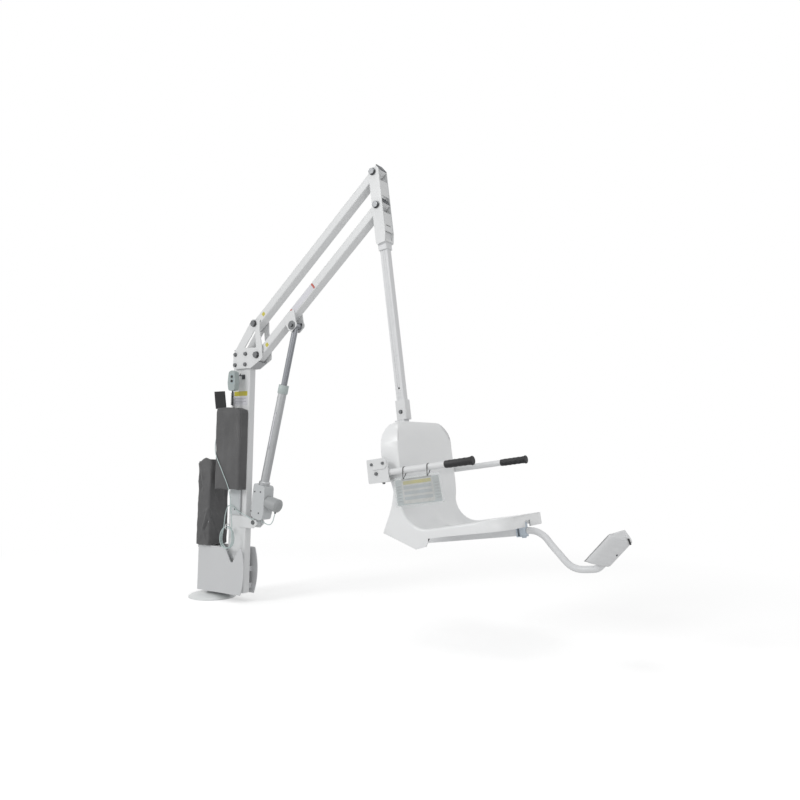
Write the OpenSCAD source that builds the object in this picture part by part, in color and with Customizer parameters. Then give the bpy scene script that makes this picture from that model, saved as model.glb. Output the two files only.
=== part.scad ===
// Pool patient lift: deck anchor, turning mast, parallel arms on an electric actuator, moulded seat.
// Millimetres, +Z up, origin on the turning axis at deck level, arms reach along +X.

/* [Fits] */
// Air gap between assembled pieces
seat_gap = 0.3; // [0.2:0.05:0.6]
// Radial clearance of turning and sliding fits
run_fit = 0.05; // [0.02:0.01:0.1]
// Radial clearance of bolts in their holes
bolt_fit = 0.4; // [0.2:0.1:0.8]

/* [Deck anchor] */
// Diameter of the flange cover
flange_d = 280; // [250:5:330]
// Height of the flange cover
flange_h = 28; // [25:1:34]
// Wall of the flange cover
flange_t = 3; // [2:0.5:4]
// Diameter of the anchor plate
anchor_d = 220; // [205:5:230]
// Thickness of the anchor plate
anchor_t = 12; // [8:1:14]
// Bolt circle of the anchor plate
anchor_pcd = 170; // [150:5:185]
// Bolt hole diameter of the anchor plate
anchor_hole_d = 14; // [10:1:18]
// Number of anchor bolt holes
anchor_holes = 6; // [4:1:8]
// Diameter of the turning post
post_d = 60; // [50:1:66]
// Wall of the turning bushes
bush_wall = 4; // [3:0.5:6]
// Height of each turning bush
bush_h = 40; // [25:1:60]
// Thickness of the thrust disc on the post
thrust_t = 6; // [4:1:8]
// Diameter of the hub sleeve
hub_d = 80; // [78:1:90]

/* [Mast foot] */
// Underside of the foot above the deck
foot_bottom = 42; // [36:1:50]
// Top of the foot plates above the deck
foot_top = 306; // [290:1:330]
// Foot plate behind the turning axis
foot_back = 71; // [60:1:80]
// Foot plate in front of the turning axis at its corners
foot_front = 286; // [284:1:296]
// Bulge of the foot plates' front edge
foot_bulge = 24; // [10:1:36]
// Outside width over the foot plates
foot_w = 116; // [112:1:130]
// Thickness of the foot plates
foot_t = 6; // [4:0.5:8]
// Depth of the V notch in the near foot plate
notch_depth = 97; // [60:1:110]
// Half width of the V notch at its mouth
notch_half = 57; // [40:1:58]

/* [Mast] */
// Mast tube depth along the arms
mast_d = 140; // [130:1:142]
// Mast tube width
mast_w = 50; // [46:1:56]
// Mast tube wall
mast_t = 5; // [3:0.5:8]
// Centre of the mast in front of the turning axis
mast_x = 212; // [208:1:216]
// Lower end of the mast tube
mast_bottom = 50; // [46:1:70]
// Upper end of the mast tube
mast_top = 1470; // [1460:1:1476]
// Outer corner radius of the mast tube
mast_r = 8; // [6:1:12]
// Thickness of the mast cap
cap_t = 4; // [3:0.5:5]

/* [Head] */
// Lower arm pivot in front of the turning axis
pivot_x = 347; // [343:1:352]
// Lower arm pivot above the deck
pivot_z = 1432; // [1428:1:1436]
// Upper pivot behind the lower pivot, the same on the head and the apex
link_back = 27; // [22:1:32]
// Upper pivot above the lower pivot
link_up = 189; // [180:1:200]
// Outside width over the head and apex plates
plate_w = 84; // [82:1:90]
// Thickness of the head and apex plates
plate_t = 6; // [5:0.5:7]
// Head bolt spacing along the mast depth
head_bolt_dx = 84; // [76:1:92]
// Head bolt spacing up the mast
head_bolt_dz = 63; // [54:1:70]
// Centre of the head bolts below the lower pivot
head_bolt_drop = 20.5; // [16:0.5:26]
// Shank diameter of the head bolts
head_bolt_d = 12; // [10:1:14]
// Thickness of the brace between the head plates
brace_t = 6; // [4:0.5:8]

/* [Arms] */
// Arm length between pivots
arm_len = 1142; // [1100:1:1180]
// Rise of the arms above level as built
arm_rise = 41.6; // [40:0.1:43]
// Arm tube height
arm_h = 50; // [46:1:54]
// Arm tube width
arm_w = 60; // [56:1:60]
// Arm tube wall
arm_t = 4; // [3:0.5:5]
// Arm tube behind its lower pivot
arm_tail = 27; // [24:1:27]
// Arm tube beyond its apex pivot
arm_nose = 36; // [30:1:38]
// Pivot pin diameter
pin_d = 20; // [16:1:22]
// Wall of the pivot bushes
arm_bush_wall = 5; // [3:0.5:6]
// Clevis pin along the arm from the lower pivot
clevis_s = 302; // [290:1:314]
// Clevis pin below the arm's centre line
clevis_drop = 60.7; // [58:0.1:64]
// Thickness of the clevis ears
clevis_t = 6; // [4:0.5:8]
// Half length of the clevis slot
slot_half = 24.4; // [24:0.1:26]
// Half height of the clevis slot
slot_up = 11.7; // [11.5:0.1:13]

/* [Actuator] */
// Actuator foot pin in front of the turning axis
act_x = 348; // [342:1:352]
// Actuator foot pin above the deck
act_z = 457.5; // [450:0.5:465]
// Thickness of the mount's side plates
mount_t = 6; // [4:0.5:8]
// Foot and clevis pin diameter
act_pin_d = 16; // [14:1:16]
// Gear case width
case_w = 76; // [70:1:84]
// Top of the gear case above the foot pin
case_top = 222; // [200:1:235]
// Bottom of the gear case above the foot pin
case_bottom = 28; // [27:1:34]
// Motor can diameter
can_d = 76; // [68:1:82]
// Motor can axis above the foot pin
can_z = 134; // [120:1:146]
// Motor can end from the actuator's centre line
can_reach = 146; // [130:1:160]
// Outer tube diameter
tube_d = 50; // [46:1:54]
// Outer tube wall
tube_t = 4; // [3:0.5:5]
// Top of the outer tube above the foot pin
tube_top = 790; // [760:1:820]
// Collar diameter
collar_d = 58; // [56:1:66]
// Collar length
collar_len = 50; // [40:1:60]
// Sliding rod diameter
rod_d = 35; // [30:1:36]
// Length of rod kept inside the outer tube
rod_inside = 90; // [60:1:120]

/* [Hanger] */
// Distance from the apex pivot down to the seat datum
hang_len = 1165; // [1140:1:1190]
// Post tube depth
tube_u = 48; // [44:1:50]
// Post tube width
tube_y = 38; // [34:1:40]
// Wall of the hanger's tubes
hang_t = 4; // [3:0.5:5]
// Apex plates in front of the pivots
apex_front = 38; // [35:1:42]
// Apex plates behind the pivots
apex_back = 28; // [26:1:34]
// Apex plates below the lower apex pivot
apex_low = 218; // [200:1:230]
// Apex plates above the upper apex pivot
apex_high = 24; // [20:1:30]
// Height of the collar below the apex plates
collar_h = 32; // [24:1:40]
// Seat sleeve length
sleeve_len = 101; // [90:1:115]
// Wall of the seat sleeve
sleeve_t = 6; // [5:0.5:7]

/* [Seat] */
// Half width of the seat shell
shell_half = 262; // [250:1:268]
// Wall of the seat shell
shell_t = 6; // [4:0.5:8]
// Front of the backrest from the hanger's centre line
back_u = 112; // [106:1:118]
// Height of the backrest's top below the seat datum
back_top = 26; // [20:1:36]
// Level of the seat pan below the seat datum
pan_v = 545; // [535:1:555]
// Rise of the pan's front edge
pan_rise = 15; // [5:1:25]
// Front edge of the seat from the hanger's centre line
pan_front = 600; // [585:1:615]
// Radius of the seat's front corners in plan
corner_r = 130; // [100:1:140]
// Depth of the skirt's lower edge below the seat datum
skirt_v = 584; // [580:1:590]
// Depth of the leg wells
well_depth = 26; // [15:1:28]
// Radius of the seat's side edges
edge_r = 12; // [8:1:14]

/* [Armrests] */
// Armrest centre line below the seat datum
arm_v = 270; // [262:1:276]
// Gap between the seat's edge and the armrest tube
arm_gap = 8; // [7:0.5:14]
// Armrest pivot from the hanger's centre line
arm_u = 8; // [4:1:14]
// Armrest tube diameter
rest_d = 30; // [26:1:32]
// Armrest tube wall
rest_t = 2.5; // [2:0.5:4]
// Start of the grip
grip_u = 372; // [350:1:390]
// Grip length
grip_len = 142; // [130:1:155]
// Grip diameter
grip_d = 35; // [34:0.5:38]
// Thickness of the armrest brackets
bracket_t = 6; // [4:0.5:8]
// Raised pad on the bracket
pad_t = 5; // [3:0.5:7]
// Bracket's rear edge behind the hanger's centre line
bracket_back = 42; // [38:1:46]
// Bracket's front edge from the hanger's centre line
bracket_front = 75; // [70:1:78]
// Bracket's upper edge below the seat datum
bracket_top = 200; // [195:1:204]
// Pouch's rear edge from the hanger's centre line
pouch_u = 98; // [90:1:106]
// Length of the pouch along the armrest
pouch_len = 257; // [240:1:262]
// Pouch's lower edge below the armrest
pouch_drop = 164; // [150:1:175]
// Armrest pivot bolt diameter
rest_bolt_d = 10; // [8:1:12]

/* [Footrest] */
// Footrest pivot from the hanger's centre line
foot_u = 574; // [566:1:578]
// Top of the footrest hub below the seat datum
hub_top = 568; // [566:1:572]
// Length of the footrest hub
hub_len = 55; // [50:1:58]
// Diameter of the footrest hub
foot_hub_d = 42; // [38:1:44]
// Footrest pivot pin diameter
foot_pin_d = 16; // [12:1:18]
// Footrest tube diameter
step_d = 31; // [28:0.5:32]
// Half width of the footrest pad
step_half = 110; // [100:1:120]
// Number of scallops on each flank
scallops = 5; // [3:1:6]

/* [Controls] */
// Height of the control cover
cover_h = 480; // [440:1:500]
// Lower edge of the control cover
cover_z = 644; // [630:1:660]
// Depth of the control cover off the mast
cover_y = 66; // [60:1:72]
// Thickness of the fabric covers
fabric_t = 3; // [2:0.5:4]
// Height of the battery cover
battery_h = 512; // [480:1:530]
// Width of the battery cover along the arms
battery_x = 110; // [100:1:116]
// Width of the battery cover across the mast
battery_y = 156; // [140:1:160]
// Handset button travel
button_travel = 2; // [1:0.5:3]
// Diameter of the handset buttons
button_d = 16; // [12:1:18]
// Diameter of the actuator cable
cable_d = 5; // [4:0.5:6]
// Diameter of the handset cord
curl_cord_d = 4; // [3:0.5:4.5]

/* [Hidden] */

$fn = 48;
foot_in = foot_w / 2 - foot_t;
plate_in = plate_w / 2 - plate_t;
post_top = foot_top - 20;
mast_front = mast_x + mast_d / 2;
arm_y = shell_half + arm_gap + rest_d / 2;
bolt_x = mast_x + 4;
bolt_low = pivot_z - head_bolt_drop - head_bolt_dz / 2;
bolt_high = pivot_z - head_bolt_drop + head_bolt_dz / 2;
bush_d = pin_d + 2 * run_fit + 2 * arm_bush_wall;
link_len = norm([link_back, link_up]);
hang_tilt = atan2(link_back, link_up);
clevis = [pivot_x + clevis_s * cos(arm_rise) + clevis_drop * sin(arm_rise),
          pivot_z + clevis_s * sin(arm_rise) - clevis_drop * cos(arm_rise)];
act_lean = atan2(clevis.x - act_x, clevis.y - act_z);
act_len = norm([clevis.x - act_x, clevis.y - act_z]);
frame_back = 45;
frame_front = 15;
rail_v = 572;
rail_h = 50;

// Placing the moving groups
module at_arm(up = false)
    translate([pivot_x - (up ? link_back : 0), 0, pivot_z + (up ? link_up : 0)]) rotate([0, -arm_rise, 0]) children();
module at_apex()
    at_arm() translate([arm_len, 0, 0]) rotate([0, arm_rise, 0]) rotate([0, -hang_tilt, 0]) children();
module at_seat() at_apex() translate([0, 0, -hang_len]) children();
module at_actuator() translate([act_x, 0, act_z]) rotate([0, act_lean, 0]) children();

// Outline in the XZ plane given its thickness from y0 to y1
module slab(y0, y1) translate([0, y1, 0]) rotate([90, 0, 0]) linear_extrude(y1 - y0) children();
module both_sides() { children(); mirror([0, 1, 0]) children(); }
module pin(x, z, d, y0, y1) translate([x, y0, z]) rotate([-90, 0, 0]) cylinder(d = d, h = y1 - y0);
module block(x0, x1, y0, y1, z0, z1) translate([x0, y0, z0]) cube([x1 - x0, y1 - y0, z1 - z0]);

// Bolt across the lift: washer and hexagon at both ends, y0 and y1 are the faces it clamps
module cross_bolt(x, z, d, y0, y1) {
    head = 0.62 * d;
    pin(x, z, d, y0 - 2 - head, y1 + 2 + head);
    both_ends(y0, y1) {
        pin(x, z, 2.1 * d, -seat_gap - 2, -seat_gap);
        translate([x, -seat_gap - 2, z]) rotate([90, 0, 0]) cylinder(d = 1.85 * d, h = head, $fn = 6);
    }
}
module both_ends(y0, y1) {
    translate([0, y0, 0]) children();
    translate([0, y1, 0]) mirror([0, 1, 0]) children();
}

// Rectangular tube of section w by h along +X
module box_tube(length, w, h, t, r) difference() {
    rounded_bar(length, w, h, r);
    translate([-1, 0, 0]) rounded_bar(length + 2, w - 2 * t, h - 2 * t, max(r - t, 1));
}
module rounded_bar(length, w, h, r) {
    translate([0, -w / 2 + r, -h / 2]) cube([length, w - 2 * r, h]);
    translate([0, -w / 2, -h / 2 + r]) cube([length, w, h - 2 * r]);
    for (y = [-1, 1], z = [-1, 1])
        translate([0, y * (w / 2 - r), z * (h / 2 - r)]) rotate([0, 90, 0]) cylinder(r = r, h = length);
}

// Polygon whose corners [x, z, radius] are rounded
function unit(v) = v / norm(v);
function corner(p, q, s, r, n) =
    let(a = unit(p - q), b = unit(s - q), half = acos(a * b) / 2,
        t = min(r / tan(half), norm(p - q) * 0.49, norm(s - q) * 0.49),
        rr = t * tan(half), c = q + unit(a + b) * rr / sin(half),
        v0 = q + a * t - c, v1 = q + b * t - c,
        a0 = atan2(v0.y, v0.x), turn = ((atan2(v1.y, v1.x) - a0 + 540) % 360) - 180)
    [for (i = [0:n]) c + rr * [cos(a0 + turn * i / n), sin(a0 + turn * i / n)]];
function rounded(pts, n = 6) = let(k = len(pts))
    [for (i = [0:k - 1]) let(p = pts[(i + k - 1) % k], q = pts[i], s = pts[(i + 1) % k])
        each (q[2] > 0 ? corner([p.x, p.y], [q.x, q.y], [s.x, s.y], q[2], n) : [[q.x, q.y]])];

// Closed surface through equal rings of points
// End face of a loft: one polygon, or for a long bent outline a strip of triangles between its two long sides
function end_face(at, m, strips) = strips ?
    [for (i = [0:m / 2 - 2]) each [[at + i, at + i + 1, at + m - 2 - i], [at + i, at + m - 2 - i, at + m - 1 - i]]]
    : [[for (i = [0:m - 1]) at + i]];
module loft(rings, strips = false) {
    m = len(rings[0]);
    k = len(rings);
    polyhedron(points = [for (r = rings) each r],
        faces = concat(end_face(0, m, strips),
            [for (j = [0:k - 2], i = [0:m - 1])
                each let(a = j * m + i, b = j * m + (i + 1) % m) [[a, a + m, b], [b, a + m, b + m]]],
            [for (f = end_face((k - 1) * m, m, strips)) [for (i = [len(f) - 1:-1:0]) f[i]]]), convexity = 8);
}

// Tube swept along points, rings square to the path
function tangent(p, i) = unit(p[min(i + 1, len(p) - 1)] - p[max(i - 1, 0)]);
function carry(p, i, n) = let(t = tangent(p, i)) unit(n - t * (n * t));
function normals(p, start) = [for (i = 0, n = carry(p, 0, start); i < len(p);
    i = i + 1, n = i < len(p) ? carry(p, i, n) : n) n];
module sweep(p, d, sides, start) {
    n = normals(p, start);
    loft([for (i = [0:len(p) - 1]) let(b = cross(tangent(p, i), n[i]))
        [for (k = [0:sides - 1]) p[i] + d / 2 * (cos(360 * k / sides) * n[i] + sin(360 * k / sides) * b)]]);
}
// Smooth path through the chosen points
function spline(p, m) = let(k = len(p)) concat(
    [for (i = [0:k - 2], j = [0:m - 1]) let(t = j / m, a = p[max(i - 1, 0)], b = p[i], c = p[i + 1],
        d = p[min(i + 2, k - 1)])
        0.5 * (2 * b + (c - a) * t + (2 * a - 5 * b + 4 * c - d) * t * t + (3 * b - a - 3 * c + d) * t * t * t)],
    [p[k - 1]]);

// Deck anchor
module anchor_post() color("silver") difference() {
    union() {
        cylinder(d = anchor_d, h = anchor_t);
        cylinder(d = post_d, h = post_top);
        translate([0, 0, anchor_t]) cylinder(d1 = post_d + 16, d2 = post_d, h = 8);
    }
    for (i = [0:anchor_holes - 1])
        rotate(i * 360 / anchor_holes) translate([anchor_pcd / 2, 0, -1])
            cylinder(d = anchor_hole_d, h = anchor_t + 2);
}
function dome(r0, r1, h, lip) = [for (i = [0:8]) let(a = 90 * i / 8)
    [r1 - (r1 - r0) * (1 - cos(a)), lip + (h - lip) * sin(a)]];
module flange_cover() color("white") rotate_extrude($fn = 64) {
    ro = flange_d / 2;
    ri = post_d / 2 + seat_gap;
    polygon(concat([[ro - flange_t, 0], [ro, 0]], dome(ri, ro, flange_h, flange_t),
        [[ri, flange_h - flange_t]],
        [for (i = [7:-1:0]) dome(ri, ro - flange_t, flange_h - flange_t, 0.5)[i]]));
}

// Turning mast
module foot_outline(notched) {
    w = foot_front + foot_back;
    h = foot_top - foot_bottom;
    r = (h * h / 4 + foot_bulge * foot_bulge) / (2 * foot_bulge);
    c = foot_front + foot_bulge - r;
    span = asin(h / 2 / r);
    mid = (foot_top + foot_bottom) / 2;
    lip = 5;
    polygon(concat([[-foot_back, foot_bottom]],
        [for (i = [0:16]) let(a = -span + span * i / 8) [c + r * cos(a), mid + r * sin(a)]],
        notched ? rounded([[mast_x + notch_half - 2, foot_top, 0], [mast_x - 1, foot_top - notch_depth, 14],
            [mast_x - notch_half - 2, foot_top, 0]]) : [],
        [[-foot_back - lip, foot_top], [-foot_back - lip, foot_top - 15], [-foot_back, foot_top - 18]]));
}
module foot_plate_near() color("white") slab(-foot_w / 2, -foot_in) foot_outline(true);
module foot_plate_far() color("white") slab(foot_in, foot_w / 2) foot_outline(false);

hub_in = post_d + 2 * run_fit + 2 * bush_wall + 2 * run_fit;
module swivel_hub() color("white") difference() {
    translate([0, 0, foot_bottom + 2]) cylinder(d = hub_d, h = foot_top - foot_bottom - 8);
    translate([0, 0, foot_bottom]) cylinder(d = hub_in, h = post_top + thrust_t + 2 * seat_gap - foot_bottom);
}
module swivel_bushes() color("dimgray") {
    for (z = [foot_bottom + 6, post_top - bush_h - 4]) translate([0, 0, z]) difference() {
        cylinder(d = hub_in - 2 * run_fit, h = bush_h);
        translate([0, 0, -1]) cylinder(d = post_d + 2 * run_fit, h = bush_h + 2);
    }
    translate([0, 0, post_top + seat_gap]) cylinder(d = post_d, h = thrust_t);
}
module foot_spacers() color("gainsboro") {
    hub_gap = hub_d / 2 + seat_gap;
    both_sides() difference() {
        block(-26, 26, hub_d / 2 - 12, foot_in, foot_bottom + 18, foot_top - 20);
        cylinder(r = hub_gap, h = foot_top);
    }
    difference() {
        block(hub_d / 2 - 12, mast_x - mast_d / 2 - seat_gap, -mast_w / 2, mast_w / 2,
            foot_bottom + 38, foot_top - 30);
        cylinder(r = hub_gap, h = foot_top);
    }
    both_sides() for (z = [foot_bottom + 28, foot_top - 140])
        block(mast_x - 62, mast_x + 58, mast_w / 2 + seat_gap, foot_in, z, z + 30);
}
module mast_tube() color("whitesmoke") difference() {
    translate([mast_x, 0, mast_bottom]) rotate([0, -90, 0])
        box_tube(mast_top - mast_bottom, mast_w, mast_d, mast_t, mast_r);
    for (x = [-1, 1], z = [bolt_low, bolt_high])
        pin(bolt_x + x * head_bolt_dx / 2, z, head_bolt_d + 2 * bolt_fit, -mast_w, mast_w);
}
module mast_cap() color("black") {
    translate([mast_x, 0, mast_top + seat_gap]) rotate([0, -90, 0]) rounded_bar(cap_t, mast_w, mast_d, mast_r);
    translate([mast_x, 0, mast_top - 8]) rotate([0, -90, 0])
        rounded_bar(8 + cap_t, mast_w - 2 * mast_t - 2 * seat_gap, mast_d - 2 * mast_t - 2 * seat_gap, 3);
}

// Head
function at_low(x, z, r) = [pivot_x + x, pivot_z + z, r];
function at_high(x, z, r) = [pivot_x - link_back + x, pivot_z + link_up + z, r];
module head_plates() color("white") both_sides() difference() {
    slab(plate_in, plate_w / 2) polygon(rounded([
        [bolt_x - head_bolt_dx / 2 - 18, bolt_low - 13, 4], [bolt_x - head_bolt_dx / 2 - 4, bolt_low - 24, 6],
        at_low(-47, bolt_low - 24 - pivot_z, 10), at_low(45, -23, 14), at_low(42, 41, 12),
        at_high(46, -43, 30), at_high(44, 19, 12), at_high(-17, 28, 14),
        [bolt_x - head_bolt_dx / 2 - 18, bolt_high + 4, 16]]));
    slab(0, plate_w) polygon(rounded([
        at_low(-102, 46, 5), at_high(9, -35, 5), at_low(-4, 44, 5)]));
    for (x = [-1, 1], z = [bolt_low, bolt_high])
        pin(bolt_x + x * head_bolt_dx / 2, z, head_bolt_d + 2 * bolt_fit, 0, plate_w);
    pin(pivot_x, pivot_z, pin_d + 2 * run_fit, 0, plate_w);
    pin(pivot_x - link_back, pivot_z + link_up, pin_d + 2 * run_fit, 0, plate_w);
}
module head_spacers() color("gainsboro") both_sides() difference() {
    block(bolt_x - head_bolt_dx / 2 - 14, min(bolt_x + head_bolt_dx / 2 + 14, mast_front),
        mast_w / 2 + seat_gap, plate_in, bolt_low - 18, bolt_high + 14);
    for (x = [-1, 1], z = [bolt_low, bolt_high])
        pin(bolt_x + x * head_bolt_dx / 2, z, head_bolt_d + 2 * bolt_fit, 0, plate_w);
}
module head_brace() color("silver") {
    a = [pivot_x - 50, pivot_z - 76];
    b = [pivot_x + 10, pivot_z - 45];
    n = unit([a.y - b.y, b.x - a.x]) * brace_t;
    slab(-plate_in + seat_gap, plate_in - seat_gap) polygon([a, b, b + n, a + n]);
}
module head_bolts() color("silver") for (x = [-1, 1], z = [bolt_low, bolt_high])
    cross_bolt(bolt_x + x * head_bolt_dx / 2, z, head_bolt_d, -plate_w / 2, plate_w / 2);
module mast_pins() color("silver") {
    cross_bolt(pivot_x, pivot_z, pin_d, -plate_w / 2, plate_w / 2);
    cross_bolt(pivot_x - link_back, pivot_z + link_up, pin_d, -plate_w / 2, plate_w / 2);
    pin(act_x, act_z, act_pin_d, -mount_out - seat_gap - 1, mount_out + seat_gap + 1);
    both_ends(-mount_out - seat_gap, mount_out + seat_gap) pin(act_x, act_z, act_pin_d + 8, -4, 0);
}

// Actuator mount: two side plates on the mast, joined in front of it
mount_out = mast_w / 2 + seat_gap + mount_t;
module actuator_mount() color("white") difference() {
    union() {
        both_sides() slab(mount_out - mount_t, mount_out) polygon(rounded([
            [mast_x + 28, act_z - 33, 2], [act_x + 2, act_z - 33, 4], [act_x + 34, act_z - 4, 8],
            [act_x + 24, act_z + 12, 8], [act_x - 44, act_z + 30, 10], [mast_x + 28, act_z + 33, 2]]));
        block(mast_front + seat_gap, mast_front + seat_gap + 6, 1 - mount_out, mount_out - 1,
            act_z - 30, act_z + 28);
    }
    pin(act_x, act_z, act_pin_d + 2 * run_fit, -mast_w, mast_w);
}

// Control box, battery and their fabric covers
cover_x0 = mast_x - 128;
cover_x1 = mast_front + 2;
cover_back = -mast_w / 2 - seat_gap;
cover_front = -mast_w / 2 - cover_y - 1;
module control_box() color("lightgray") {
    translate([(cover_x0 + cover_x1) / 2, (cover_front + cover_back) / 2, cover_z + 14]) rotate([0, -90, 0])
        rounded_bar(cover_h - 30, cover_back - cover_front - 2 * fabric_t - 6,
            cover_x1 - cover_x0 - 2 * fabric_t - 12, 8);
    difference() {
        union() {
            block(mast_x - 48, mast_x + 34, cover_back - 14, cover_back - 6, act_z + 40, cover_z + 30);
            block(mast_x - 30, mast_x + 14, cover_back - 8, cover_back, cover_z - 90, cover_z - 44);
        }
        pin(mast_x - 6, act_z + 70, 12, cover_back - 20, cover_back + 1);
    }
}
module control_cover() color("dimgray") difference() {
    loft([for (s = [0:6]) let(k = s / 6, z = cover_z + cover_h * k, f = 3 * (1 - k) * (1 - k), top = k > 0.9 ? 8 : 0)
        [for (p = rounded([[cover_x0 - f + top, cover_front - f + top / 2, 14],
            [cover_x1 + f - 2 * top, cover_front - f + top / 2, 14],
            [cover_x1 + f - 2 * top, cover_back, 3], [cover_x0 - f + top, cover_back, 3]], 4)) [p.x, p.y, z]]]);
    translate([(cover_x0 + cover_x1) / 2, (cover_front + cover_back) / 2, cover_z - 1]) rotate([0, -90, 0])
        rounded_bar(cover_h - 14, cover_back - cover_front - 2 * fabric_t,
            cover_x1 - cover_x0 - 2 * fabric_t - 10, 10);
}
module cover_strap() color("black") translate([cover_x0, cover_front + 6, cover_z + cover_h])
    rotate([0, -4, 0]) block(-27, 63, 0, 3, -0.2, 98);

battery_c = -21;
module battery_box() color("lightgray") translate([battery_c, 0, foot_top + seat_gap]) rotate([0, -90, 0])
    rounded_bar(battery_h - 50, battery_y - 2 * fabric_t - 14, battery_x - 2 * fabric_t - 14, 8);
module battery_cover() color("dimgray") {
    bx = battery_x / 2;
    by = battery_y / 2;
    difference() {
        loft([for (s = [0:7]) let(k = s / 7, z = foot_top + seat_gap + battery_h * k,
            g = 3 * sin(540 * k), top = k > 0.95 ? 10 : (k > 0.8 ? 3 : 0),
            rear = battery_c - bx + top - g, front = battery_c + bx - top - 4 + g, y = by - top)
            [for (p = rounded([[rear, -y, 16], [front, -y, 16], [front, y, 16], [rear, y, 16]], 4)) [p.x, p.y, z]]]);
        translate([battery_c, 0, foot_top + seat_gap - 1]) rotate([0, -90, 0])
            rounded_bar(battery_h - 36, battery_y - 2 * fabric_t - 8, battery_x - 2 * fabric_t - 8, 10);
    }
}

// Handset on its hook, with two sprung buttons and a curly cord
hand_x = 208;
hand_z = 1282;
hand_y0 = -98;
hand_y1 = -62;
module handset() color("darkslategray") difference() {
    translate([hand_x, 0, hand_z]) rotate([0, -6, 0]) {
        slab(hand_y0, hand_y1) polygon(rounded([[-32, -58, 14], [16, -60, 10], [26, -10, 20], [24, 46, 14],
            [6, 60, 12], [-22, 56, 18], [-36, -10, 24]]));
        slab(hand_y1, hand_y1 + 5) polygon(rounded([[-12, 6, 4], [14, 6, 4], [14, 40, 4], [-12, 40, 4]]));
    }
    for (z = button_z) pin(hand_x, z, button_d + 2 * run_fit, hand_y0 - 1, hand_y0 + button_travel + 10);
}
button_z = [hand_z - 4, hand_z + 22];
module button(z) {
    pin(hand_x, z, button_d, hand_y0 - button_travel - 1, hand_y0 + 8);
}
module handset_up_button() color("black") button(button_z[1]);
module handset_down_button() color("black") button(button_z[0]);
hook_y = hand_y1 + 8 + seat_gap;
module handset_hook() color("silver") {
    face = -mast_w / 2 - seat_gap;
    x = mast_x + 20;
    z = pivot_z - 125;
    difference() {
        block(x - 12, x + 12, face - 3, face, z - 14, z + 14);
        pin(x, z, 5, face - 10, face + 1);
    }
    pin(x, z + 6, 6, hook_y, face);
    translate([x, hook_y, z + 6]) sphere(d = 6);
    translate([x, hook_y, z + 6]) cylinder(d = 6, h = 12);
    translate([x, hook_y, z + 6]) rotate([0, -90, 0]) cylinder(d = 6, h = x - hand_x - 4);
    translate([hand_x + 4, hook_y, z + 6]) sphere(d = 6);
}
curl_r = 6.5;
curls = 12;
curl_x = hand_x - 10;
curl_y = -80;
curl_top = hand_z - 60.4;
curl_end = cover_z + cover_h + seat_gap;
module handset_cord() color("darkslategray") {
    n = curls * 8;
    z0 = curl_top - 10;
    z1 = curl_end + 12;
    path = concat(
        [[curl_x, curl_y, curl_top], [curl_x, curl_y, curl_top - 4], [curl_x + 2, curl_y, curl_top - 7]],
        [for (i = [0:n]) [curl_x + curl_r * cos(360 * i / 8), curl_y + curl_r * sin(360 * i / 8),
            z0 - (z0 - z1) * i / n]],
        [[curl_x + 2, curl_y, z1 - 5], [curl_x, curl_y, z1 - 8], [curl_x, curl_y, curl_end]]);
    sweep(path, curl_cord_d, 6, [0, 1, 0]);
}

// Actuator cable: down the cover, three hanging loops, up to the gear case
coil_c = [186, -75, 366];
coil_a = [52, 62];
coil_turns = 3;
cable_in = [[82.4, -62, 985], [74, -62, 984], [67, -70, 955], [68, -80, 905], [84, -92, 860], [106, -98.5, 822],
    [136, -98.5, 775], [166, -98.5, 726], [192, -98.5, 685], [212, -98.5, 645], [222, -96, 605], [226, -92, 560],
    [228, -88, 500], [234, -86, 440]];
cable_out = [[146, -62, 440], [150, -58, 500], [166, -52, 545], [196, -46, 545], [226, -44.5, 524], [250, -43.5, 512],
    [290, -39, 497], [322, -37, 484.5], [336, -36.5, 477.5], [348, -36, 475.5], [355, -35, 477.5],
    [357.57, -34.5, 483.2]];
module actuator_cable() color("powderblue") {
    n = coil_turns * 20;
    coil = [for (i = [1:n - 1]) let(a = -10 - 360 * (coil_turns - 0.45) * i / n)
        [coil_c.x + (coil_a.x - 4 * sin(a)) * cos(a), coil_c.y - 11 + 22 * i / n, coil_c.z + coil_a.y * sin(a)]];
    sweep(concat(spline(cable_in, 2), coil, spline(cable_out, 2)), cable_d, 8, [0, 1, 0]);
}
module cable_tie() color("white") {
    translate([coil_c.x, coil_c.y, coil_c.z + coil_a.y]) rotate([0, 90, 0]) difference() {
        cylinder(d = 34, h = 5, center = true);
        cylinder(d = 29, h = 6, center = true);
    }
}

// Arms
module arm_tube() difference() {
    translate([-arm_tail, 0, 0]) box_tube(arm_len + arm_tail + arm_nose, arm_w, arm_h, arm_t, 6);
    for (s = [0, arm_len]) pin(s, 0, bush_d + 2 * run_fit, -arm_w, arm_w);
}
module arm_caps() {
    plug_w = arm_w - 2 * arm_t - 2 * seat_gap;
    plug_h = arm_h - 2 * arm_t - 2 * seat_gap;
    translate([arm_len + arm_nose + seat_gap, 0, 0]) rounded_bar(3.5, arm_w, arm_h, 6);
    translate([arm_len + arm_nose - 8, 0, 0]) rounded_bar(10, plug_w, plug_h, 2);
    translate([-arm_tail - 3.5 - seat_gap, 0, 0]) rounded_bar(3.5, arm_w, arm_h, 6);
    translate([-arm_tail - 2, 0, 0]) rounded_bar(8, plug_w, plug_h, 2);
}
module arm_bushes() for (s = [0, arm_len]) difference() {
    pin(s, 0, bush_d, -plate_in + seat_gap, plate_in - seat_gap);
    pin(s, 0, pin_d + 2 * run_fit, -plate_w, plate_w);
}
module lower_arm_tube() color("white") at_arm() arm_tube();
module lower_arm_caps() color("dimgray") at_arm() arm_caps();
module lower_arm_bushes() color("gray") at_arm() arm_bushes();
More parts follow.
